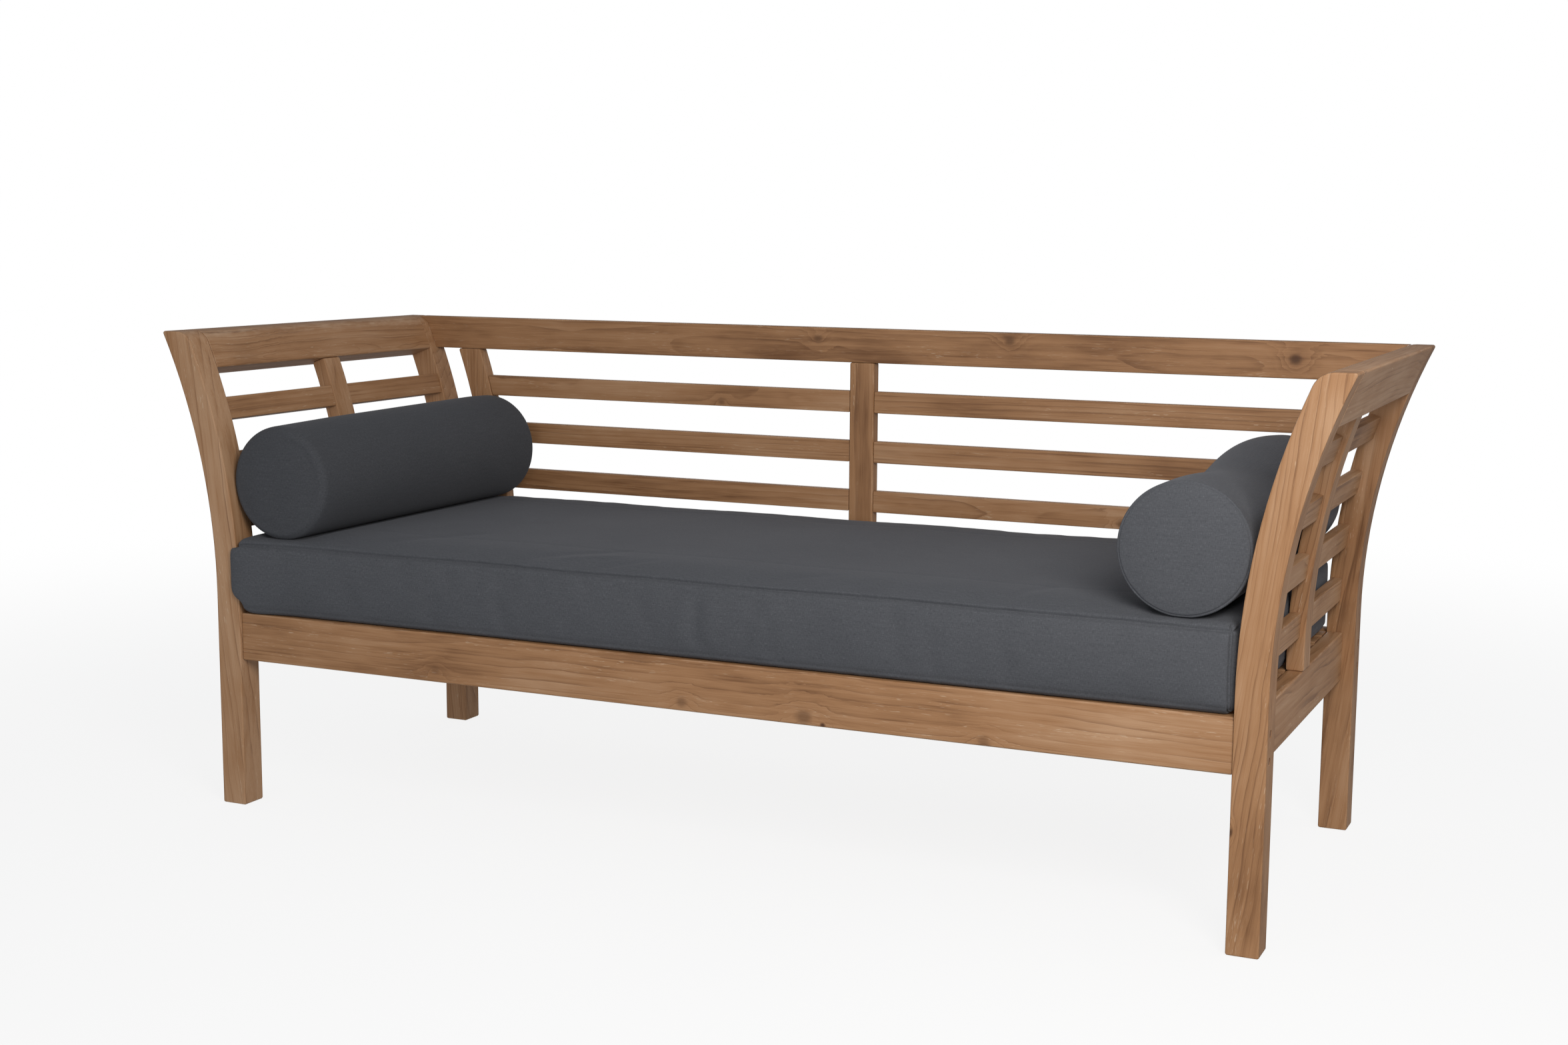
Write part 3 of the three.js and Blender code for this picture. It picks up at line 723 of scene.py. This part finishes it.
def coordinates(mesh, kind="co"):
    """The points of a mesh, or with kind "normal" their normals, as rows."""
    flat = np.empty(len(mesh.vertices) * 3)
    mesh.vertices.foreach_get(kind, flat)
    return flat.reshape(-1, 3)


def set_coordinates(mesh, points):
    mesh.vertices.foreach_set("co", np.ascontiguousarray(points).ravel())
    mesh.update()


def inflate(piece, seams, cap, slack):
    """Swells a cushion as cloth held at its seams, and stops each point at cap metres."""
    start = coordinates(piece.data)
    held = piece.vertex_groups.new(name="held")
    for i in range(len(start)):
        if seams[i] > PIN_LEAST:
            held.add([i], float(seams[i]), "REPLACE")
    cloth = piece.modifiers.new("swell", "CLOTH")
    settings = cloth.settings
    settings.quality = CLOTH_QUALITY
    settings.mass = CLOTH_MASS
    settings.tension_stiffness = CLOTH_STIFFNESS
    settings.compression_stiffness = CLOTH_STIFFNESS
    settings.shear_stiffness = CLOTH_STIFFNESS * 0.6
    settings.bending_stiffness = CLOTH_BENDING
    settings.use_pressure = True
    settings.uniform_pressure_force = CLOTH_PRESSURE
    settings.vertex_group_mass = "held"
    settings.pin_stiffness = 1.0
    settings.shrink_min = -slack
    settings.effector_weights.gravity = 0.0
    cloth.collision_settings.use_collision = False
    scene = bpy.context.scene
    cloth.point_cache.frame_start, cloth.point_cache.frame_end = 1, CLOTH_FRAMES
    for number in range(1, CLOTH_FRAMES + 1):
        scene.frame_set(number)
    swollen = coordinates(piece.evaluated_get(bpy.context.evaluated_depsgraph_get()).data)
    piece.modifiers.remove(cloth)
    scene.frame_set(1)
    move = swollen - start
    far = np.linalg.norm(move, axis=1, keepdims=True)
    move *= np.minimum(1.0, cap * np.tanh(far / cap) / np.maximum(far, 1e-9))
    set_coordinates(piece.data, start + move)
    piece.vertex_groups.remove(held)


def subdivide(piece):
    """Applies one level of subdivision surface."""
    modifier = piece.modifiers.new("fine", "SUBSURF")
    modifier.levels = modifier.render_levels = 1
    modifier.boundary_smooth = "ALL"
    done = bpy.data.meshes.new_from_object(piece.evaluated_get(bpy.context.evaluated_depsgraph_get()))
    piece.modifiers.remove(modifier)
    old = piece.data
    piece.data = done
    bpy.data.meshes.remove(old)
    done.name = piece.name
    done.shade_smooth()


def carry(piece, block):
    """Keeps each point's place on the plain block, which the subdivision then carries along."""
    layer = piece.data.attributes.new("block", "FLOAT_VECTOR", "POINT")
    layer.data.foreach_set("vector", np.ascontiguousarray(block).ravel())


def carried(piece):
    """Reads back what carry kept, and removes it."""
    flat = np.empty(len(piece.data.vertices) * 3)
    layer = piece.data.attributes["block"]
    layer.data.foreach_get("vector", flat)
    piece.data.attributes.remove(layer)
    return flat.reshape(-1, 3)


def smooth_step(value, low, high):
    """From 0 at low to 1 at high."""
    t = np.clip((value - low) / (high - low), 0.0, 1.0)
    return t * t * (3.0 - 2.0 * t)


def bell(value, centre, width):
    """A Gaussian of height 1."""
    return np.exp(-(((value - centre) / width) ** 2))


def to_arc(a, b):
    """What turns the larger of two offsets into the arc's share, where both are inside a corner."""
    both = (a > 0) & (b > 0)
    return both, np.where(both, np.maximum(a, b) / np.maximum(np.hypot(a, b), 1e-9), 1.0)


def inner_face(z):
    """How far from the middle the inner faces of the legs stand at a height."""
    rise = np.clip(z - SWEEP_START, 0.0, SWEEP_HEIGHT)
    return LEG_INNER + INNER_RADIUS - np.sqrt(INNER_RADIUS**2 - rise**2)


def mattress_outline(points):
    """Rounds the block's corners in plan and its edges all round."""
    low, high = MATTRESS_LOW, MATTRESS_HIGH
    half, centre = (high - low) / 2, (high + low) / 2
    p = points - centre
    corner = np.where(p[:, 0] < 0, MATTRESS_CORNER_LEFT, MATTRESS_CORNER_RIGHT)
    inward = np.minimum(half[0] - np.abs(p[:, 0]), half[1] - np.abs(p[:, 1]))
    dx = np.abs(p[:, 0]) - (half[0] - corner)
    dy = np.abs(p[:, 1]) - (half[1] - corner)
    in_corner = (dx > 0) & (dy > 0)
    length = np.maximum(np.hypot(dx, dy), 1e-9)
    pull = np.where(in_corner, np.maximum(dx, dy) / length, 1.0)
    out = p.copy()
    sx, sy = np.sign(p[:, 0]), np.sign(p[:, 1])
    out[:, 0] = np.where(in_corner, sx * (half[0] - corner + dx * pull), p[:, 0])
    out[:, 1] = np.where(in_corner, sy * (half[1] - corner + dy * pull), p[:, 1])
    normal_x = np.where(in_corner, sx * dx / length, np.where(dx > dy, sx, 0.0))
    normal_y = np.where(in_corner, sy * dy / length, np.where(dx > dy, 0.0, sy))
    r = MATTRESS_EDGE
    side = np.clip(r - inward, 0.0, r)
    up = np.clip(np.abs(p[:, 2]) - (half[2] - r), 0.0, r)
    both, scale = to_arc(side, up)
    out[:, 0] -= normal_x * side * (1.0 - scale)
    out[:, 1] -= normal_y * side * (1.0 - scale)
    out[:, 2] = np.where(both, np.sign(p[:, 2]) * (half[2] - r + up * scale), p[:, 2])
    return out + centre


def keep_mattress_clear(points):
    """Keeps the mattress on its rails, between the legs and under the bolsters."""
    p = points.copy()
    p[:, 2] = np.maximum(p[:, 2], MATTRESS_LOW[2])
    behind = p[:, 1] > LEG_FRONT - CLEAR
    limit = inner_face(p[:, 2]) - CLEAR
    p[:, 0] = np.where(behind, np.clip(p[:, 0], -limit, limit), p[:, 0])
    p[:, 1] = np.minimum(p[:, 1], MATTRESS_BACK)
    for name in ("bolster_left", "bolster_right"):
        low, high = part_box(name)
        middle, axis = (low[0] + high[0]) / 2, (low[2] + high[2]) / 2
        reach = (high[0] - low[0]) / 2 + BOLSTER_SWELL
        beside = (p[:, 1] > low[1] - BOLSTER_MARGIN) & (p[:, 1] < high[1] + BOLSTER_MARGIN)
        inside = (np.abs(p[:, 0] - middle) < reach) & beside
        under = axis - np.sqrt(np.maximum(reach**2 - (p[:, 0] - middle) ** 2, 0.0))
        under = np.maximum(under, MATTRESS_HIGH[2])
        p[:, 2] = np.where(inside, np.minimum(p[:, 2], under), p[:, 2])
    return p


def from_edges(block):
    """How far points of the mattress's block are from its sides, its top and its bottom."""
    low, high = MATTRESS_LOW, MATTRESS_HIGH
    x, y, z = block[:, 0], block[:, 1], block[:, 2]
    inward = np.minimum.reduce([x - low[0], high[0] - x, y - low[1], high[1] - y])
    return inward, high[2] - z, z - low[2]


def make_mattress():
    """The mattress's cover: swollen as cloth, shaped, made finer, then creased and seamed."""
    low, high = MATTRESS_LOW, MATTRESS_HIGH
    xs = steps(low[0], high[0], EDGE_LINES, MATTRESS_PITCH)
    ys = steps(low[1], high[1], EDGE_LINES, MATTRESS_PITCH)
    zs = steps(low[2], high[2], EDGE_LINES[:5], MATTRESS_PITCH_UP)
    points, faces = lattice_block(xs, ys, zs)
    block = points.copy()
    start = mattress_outline(points)
    # The cover's panels meet along the top and bottom edges, so those edges hold while the panels swell.
    inward, top, bottom = from_edges(block)
    seam = bell(inward + np.minimum(top, bottom), 0.0, 0.006)
    resting = np.where(bottom < 0.001, 0.6, 0.0)
    piece = new_piece("mattress_cover", start, faces, fabric("mattress_fabric", lay_flat, MATTRESS_TONE))
    inflate(piece, np.maximum(seam * 0.96, resting), cap=0.007, slack=0.004)
    points = crown_mattress(coordinates(piece.data), block)
    points = spill_corner(points, block)
    set_coordinates(piece.data, keep_mattress_clear(points))
    carry(piece, block)
    subdivide(piece)
    block = carried(piece)
    points = crease_mattress(coordinates(piece.data), block)
    points = sink_seams(points, coordinates(piece.data, "normal"), block)
    set_coordinates(piece.data, keep_mattress_clear(points))
    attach(piece, "mattress")
    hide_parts("mattress")


def ridge(x, y, start, end, width):
    """A smooth ridge along the segment from start to end, from 0 to 1."""
    start, end = np.array(start), np.array(end)
    along = end - start
    length = np.hypot(*along)
    along = along / length
    dx, dy = x - start[0], y - start[1]
    run = dx * along[0] + dy * along[1]
    off = -dx * along[1] + dy * along[0]
    inside = smooth_step(run, 0.0, length * 0.3) * (1.0 - smooth_step(run, length * 0.7, length))
    return bell(off, 0.0, width) * inside


# Creases in the cover: both ends in plan or on the front (x, z), then the width and the depth.
TOP_CREASES = [
    ((-0.34, -0.375), (-0.15, -0.24), 0.010, -0.0022),
    ((-0.30, -0.375), (-0.13, -0.29), 0.013, 0.0022),
    ((-0.18, -0.378), (-0.07, -0.30), 0.008, -0.0018),
    ((0.10, -0.375), (0.26, -0.30), 0.012, -0.0014),
    ((-0.62, -0.360), (-0.48, -0.16), 0.016, -0.0016),
    ((0.52, -0.375), (0.60, -0.22), 0.014, -0.0014),
    ((-0.25, 0.28), (0.10, 0.20), 0.022, -0.0016),
    ((0.30, 0.30), (0.55, 0.22), 0.020, -0.0014),
]
FRONT_CREASES = [
    ((0.020, 0.365), (0.030, 0.480), 0.010, 0.0032),
    ((0.048, 0.370), (0.056, 0.470), 0.012, -0.0018),
    ((-0.010, 0.370), (0.004, 0.462), 0.012, -0.0018),
    ((0.150, 0.362), (0.162, 0.440), 0.012, 0.0020),
    ((-0.360, 0.390), (-0.345, 0.484), 0.014, 0.0022),
    ((0.420, 0.362), (0.440, 0.450), 0.016, 0.0018),
]


def crown_mattress(points, block):
    """The slow shape that the foam gives the cover: a full front and a gently crowned top."""
    p = points.copy()
    x, y, z = block[:, 0], block[:, 1], block[:, 2]
    low, high = MATTRESS_LOW, MATTRESS_HIGH
    up = np.clip((z - low[2]) / (high[2] - low[2]), 0.0, 1.0)
    front = 1.0 - smooth_step(y, low[1], low[1] + FRONT_REACH)
    top = smooth_step(z, high[2] - TOP_REACH, high[2])
    full = np.sin(np.pi * up) ** 0.7
    slow = 0.0012 * np.sin(9.0 * x + 1.0) + 0.0009 * np.sin(23.0 * x + 0.4)
    p[:, 1] -= front * full * (0.0035 + slow)
    inward = np.minimum(y - low[1], high[1] - y)
    p[:, 2] += top * MATTRESS_CROWN * smooth_step(inward, 0.0, 0.09)
    rolling = 0.0012 * np.sin(7.0 * x + 2.0) * np.cos(5.0 * y) + 0.0008 * np.sin(17.0 * x - 6.0 * y)
    p[:, 2] += top * rolling
    return p


def crease_mattress(points, block):
    """Presses the soft puckers into the top and the front."""
    p = points.copy()
    x, y, z = block[:, 0], block[:, 1], block[:, 2]
    front = 1.0 - smooth_step(y, MATTRESS_LOW[1], MATTRESS_LOW[1] + FRONT_REACH)
    top = smooth_step(z, MATTRESS_HIGH[2] - TOP_REACH, MATTRESS_HIGH[2])
    for start, end, width, depth in TOP_CREASES:
        p[:, 2] += top * depth * ridge(x, y, start, end, width)
    for start, end, width, depth in FRONT_CREASES:
        p[:, 1] += front * depth * ridge(x, z, start, end, width)
    return p


def spill_corner(points, block):
    """The front left corner of the cushion is plump: rounded end on, and just past the leg's edge."""
    p = points.copy()
    low, high = MATTRESS_LOW, MATTRESS_HIGH
    near = smooth_step(-block[:, 1], *SPILL_FRONT)
    push = smooth_step(-block[:, 0], *SPILL_LEFT) * near
    # The spill dies away towards the top and bottom edges, so that the corner has no ears.
    push_out = push * smooth_step(high[2] - block[:, 2], -0.006, 0.022)
    push_out *= smooth_step(block[:, 2] - low[2], -0.002, 0.040)
    p[:, 0] -= CORNER_SPILL * push_out
    p[:, 1] -= CORNER_FORWARD * push
    edge = low[0] - CORNER_SPILL
    for radius, sign, limit in ((LEFT_TOP_CORNER, 1.0, high[2]), (LEFT_FOOT_CORNER, -1.0, low[2])):
        dx = np.maximum(edge + radius - p[:, 0], 0.0)
        dz = np.maximum(sign * (p[:, 2] - limit) + radius, 0.0)
        _, scale = to_arc(dx, dz)
        p[:, 0] += near * dx * (1.0 - scale)
        p[:, 2] -= near * sign * dz * (1.0 - scale)
    return p


def sink_seams(points, normals, block):
    """Presses in the seams along the top and bottom edges and down the right front corner."""
    low, high = MATTRESS_LOW, MATTRESS_HIGH
    inward, top, bottom = from_edges(block)
    groove = bell(top - inward, SEAM_BELOW, SEAM_WIDTH)
    groove = np.maximum(groove, SEAM_BOTTOM_SHARE * bell(bottom - inward, SEAM_BELOW, SEAM_WIDTH))
    # The upright seam of the right front corner is a doubled line just round the corner.
    on_front = 1.0 - smooth_step(block[:, 1], low[1] + 0.002, low[1] + 0.02)
    across = high[0] - block[:, 0]
    upright = bell(across, 0.0065, 0.0022) + 0.7 * bell(across, 0.0, 0.0025)
    groove = np.maximum(groove, on_front * np.minimum(upright, 1.0))
    return points - normals * (groove * SEAM_DEPTH)[:, None]


def disc_grid(count):
    """Concentric lattice of a disc with count cells a side: unit points, cells, and the rim in order."""
    line = np.linspace(-1.0, 1.0, count + 1)
    points, index = [], {}
    for j, b in enumerate(line):
        for i, a in enumerate(line):
            r = max(abs(a), abs(b))
            if r < 1e-9:
                at = (0.0, 0.0)
            elif abs(a) >= abs(b):
                angle = math.pi / 4 * b / a
                at = (a * math.cos(angle), a * math.sin(angle))
            else:
                angle = math.pi / 4 * a / b
                at = (b * math.sin(angle), b * math.cos(angle))
            index[(i, j)] = len(points)
            points.append(at)
    rim = [(i, 0) for i in range(count)] + [(count, j) for j in range(count)]
    rim += [(count - i, count) for i in range(count)] + [(0, count - j) for j in range(count)]
    cells = [[index[(i, j)], index[(i + 1, j)], index[(i + 1, j + 1)], index[(i, j + 1)]]
             for i in range(count) for j in range(count)]
    return np.array(points), cells, [index[k] for k in rim]


def bolster_rings(edge):
    """Stations along a bolster: position from the front and the radius less the full one."""
    stations = []
    for k in range(1, EDGE_STEPS + 1):
        angle = math.pi / 2 * k / EDGE_STEPS
        stations.append((edge * (1 - math.cos(angle)), -edge * (1 - math.sin(angle))))
    return stations


def make_bolster(side, shape, edge):
    """A bolster's cover, swollen as cloth. Returns it, its plain block and its radius."""
    low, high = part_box("bolster_" + side)
    radius = (high[0] - low[0]) / 2
    centre = np.array([(low[0] + high[0]) / 2, 0.0, (low[2] + high[2]) / 2])
    grid, cells, rim = disc_grid(CAP_CELLS)
    ends = bolster_rings(edge)
    length = high[1] - low[1]
    middle = np.linspace(ends[-1][0], length - ends[-1][0], BOLSTER_STATIONS)[1:-1]
    stations = ends + [(m, 0.0) for m in middle] + [(length - s, d) for s, d in reversed(ends)]
    points, faces = [], []
    flat = radius - edge
    for end, y in ((0, low[1]), (1, high[1])):
        base = len(points)
        for a, b in grid:
            points.append((a * flat, y, b * flat))
        for c in cells:
            quad = [base + k for k in c]
            faces.append(quad if end == 0 else quad[::-1])
    previous = rim
    for s, d in stations:
        ring = []
        for k in rim:
            ring.append(len(points))
            a, b = grid[k]
            points.append((a * (radius + d), low[1] + s, b * (radius + d)))
        faces += band(previous, ring)
        previous = ring
    faces += band(previous, [len(grid) + k for k in rim])
    points = np.array(points)
    block = points.copy()
    points = points + centre
    inside = np.clip(1.0 - (np.hypot(block[:, 0], block[:, 2]) / flat) ** 2, 0.0, 1.0)
    on_front = block[:, 1] < low[1] + 0.0001
    on_back = block[:, 1] > high[1] - 0.0001
    points[:, 1] -= np.where(on_front, CAP_DOME * inside, 0.0)
    points[:, 1] += np.where(on_back, CAP_DOME * inside, 0.0)
    start = points + shape(block, low, high)
    unrolled = lay_round(centre[0], centre[2], radius)
    # The cover's colour carries its side's painted light or shade.
    material = fabric("bolster_fabric_" + side, unrolled, BOLSTER_PAINTED_LIGHT[side])
    piece = new_piece("bolster_cover_" + side, start, faces, material)
    reach = np.hypot(block[:, 0], block[:, 2])
    at_end = np.minimum(block[:, 1] - low[1], high[1] - block[:, 1])
    seam = bell(reach, flat, 0.0035) * bell(at_end, 0.0, 0.003)
    inflate(piece, seam * 0.97, cap=0.006, slack=0.006)
    return piece, block, radius


def keep_bolster_clear(points):
    """Keeps a bolster off the mattress and inside the arms."""
    p = points.copy()
    p[:, 2] = np.maximum(p[:, 2], MATTRESS_HIGH[2] + CLEAR)
    limit = inner_face(p[:, 2]) - CLEAR
    p[:, 0] = np.clip(p[:, 0], -limit, limit)
    p[:, 1] = np.minimum(p[:, 1], BOLSTER_BACK)
    return p


# How far the top of the left bolster rises, at shares of its length from its front end.
LEFT_STATIONS = [0.0, 0.25, 0.6, 0.9, 1.0]
LEFT_RISE = [0.0010, 0.0050, 0.0075, 0.0090, 0.0070]


def left_shape(block, low, high):
    """The left bolster stands a little taller than it is wide, and fuller towards the back."""
    move = np.zeros_like(block)
    radius = (high[0] - low[0]) / 2
    up = (block[:, 2] + radius) / (2 * radius)
    along = (block[:, 1] - low[1]) / (high[1] - low[1])
    move[:, 2] = up * np.interp(along, LEFT_STATIONS, LEFT_RISE)
    return move


# The slack right bolster: where along Y it dips or swells, how widely, and by how much.
RIGHT_DIP = (-0.075, 0.125, -0.0130)
RIGHT_HUMP = (0.215, 0.105, 0.0100)


def right_shape(block, low, high):
    """The right bolster is slack: a saddle behind its front cap, then a hump towards the back."""
    radius = (high[0] - low[0]) / 2
    reach = np.maximum(np.hypot(block[:, 0], block[:, 2]), 1e-6)
    upper = smooth_step(block[:, 2], -0.45 * radius, 0.55 * radius)
    change = np.zeros(len(block))
    for place, width, amount in (RIGHT_DIP, RIGHT_HUMP):
        change += amount * bell(block[:, 1], place, width)
    change *= upper * reach / radius
    move = np.zeros_like(block)
    move[:, 0] = block[:, 0] / reach * change
    move[:, 2] = block[:, 2] / reach * change
    return move


def finish_bolster(side, shape, edge, seam_depth):
    """Sews one bolster: its caps meet its side at a ring, pressed in by seam_depth."""
    piece, block, radius = make_bolster(side, shape, edge)
    set_coordinates(piece.data, keep_bolster_clear(coordinates(piece.data)))
    carry(piece, block)
    subdivide(piece)
    block = carried(piece)
    low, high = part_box("bolster_" + side)
    reach = np.hypot(block[:, 0], block[:, 2])
    at_end = np.minimum(block[:, 1] - low[1], high[1] - block[:, 1])
    away = np.hypot(reach - (radius - edge * 0.30), at_end - edge * 0.30)
    groove = bell(away, 0.0, 0.0026) * seam_depth
    points = coordinates(piece.data) - coordinates(piece.data, "normal") * groove[:, None]
    set_coordinates(piece.data, keep_bolster_clear(points))
    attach(piece, "bolster_" + side)
    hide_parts("bolster_" + side)


# ---------------------------------------------------------------- bolt plugs

PLUG_RADIUS, PLUG_LENGTH, PLUG_DOME, PLUG_SIDES = 0.0055, 0.0044, 0.0002, 32
# The straight share of a plug's length, the domed share of its radius, and the steps of the dome.
PLUG_WALL, PLUG_HEAD, PLUG_STEPS = 0.85, 0.93, 5
# The plugs' wood is made far darker than the rest: painted shade of the bolt recesses.
PLUG_PAINTED_SHADE, PLUG_GRAIN_RINGS = -0.80, 190.0
RECESS_DEPTH, RECESS_GAP = 0.005, 0.0001
BOLT_LEVELS = {"lower": 0.292, "upper": 0.333}
POST_FACE, POST_MIDDLE = 0.945, 0.3665


def make_plug(name, face, centre, out, material):
    """A short turned plug at the bottom of a bolt's recess. out is +1 or -1 along X."""
    profile = [(0.0, 0.0), (PLUG_RADIUS, 0.0), (PLUG_RADIUS, PLUG_LENGTH * PLUG_WALL)]
    for k in range(1, PLUG_STEPS + 1):
        share = 1.0 - k / PLUG_STEPS
        dome = PLUG_DOME * (1.0 - share**2)
        profile.append((PLUG_RADIUS * PLUG_HEAD * share, PLUG_LENGTH + dome))
    points, faces, rings = [], [], []
    for radius, height in profile:
        if radius == 0.0:
            rings.append([len(points)] * PLUG_SIDES)
            points.append((height, 0.0, 0.0))
            continue
        rings.append([len(points) + k for k in range(PLUG_SIDES)])
        for k in range(PLUG_SIDES):
            angle = 2.0 * math.pi * k / PLUG_SIDES
            points.append((height, radius * math.cos(angle), radius * math.sin(angle)))
    for inner, outer in zip(rings, rings[1:]):
        for corners in band(inner, outer):
            quad = list(dict.fromkeys(corners))
            faces.append(quad[::-1] if out > 0 else quad)
    start = face - out * (RECESS_DEPTH - RECESS_GAP)
    placed = [(start + out * x, centre + y, z) for x, y, z in points]
    return new_piece(name, placed, faces, material)


def make_plugs():
    """Two plugs in the outer face of each leg, over the bolts of the seat rails."""
    for side, out in (("left", -1.0), ("right", 1.0)):
        for end in ("front", "back"):
            face = out * POST_FACE
            middle = -POST_MIDDLE if end == "front" else POST_MIDDLE
            for level, height in BOLT_LEVELS.items():
                name = "plug_%s_%s_%s" % (end, side, level)
                at = (face, middle, height)
                # The plug's dark tone is painted shade of its recess.
                grain = teak(name + "_teak", "x", at, tone=PLUG_PAINTED_SHADE, rings=PLUG_GRAIN_RINGS)
                plug = make_plug(name, face, middle, out, grain)
                plug.data.transform(Matrix.Translation((0.0, 0.0, height)))
                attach(plug, "frame")


# ---------------------------------------------------------------- put together

TEAK = make_teak_group()
KNOT = make_knot_group()
WEAVE = make_fabric_group()
SMOOTHING = make_smoothing()
make_camera()
make_stage()
make_light("key", at=(1.7, -2.1, 1.75), aim=(0.5, 0.0, 0.4), size=(1.1, 1.1), watts=47.0, tint=KEY_TINT)
make_light("side", at=(3.6, 0.6, 1.2), aim=(0.9, 0.0, 0.4), size=(1.6, 1.6), watts=7.0)
make_light("fill", at=(-0.6, -4.6, 0.9), aim=(0.0, 0.0, 0.4), size=(3.0, 1.4), watts=26.0)
make_light("back", at=(-1.5, 4.2, 0.9), aim=(0.0, 0.0, 0.4), size=(3.0, 1.4), watts=16.0)
dress_frame()
make_mattress()
finish_bolster("left", left_shape, edge=0.017, seam_depth=0.0009)
finish_bolster("right", right_shape, edge=0.008, seam_depth=0.0026)
make_plugs()
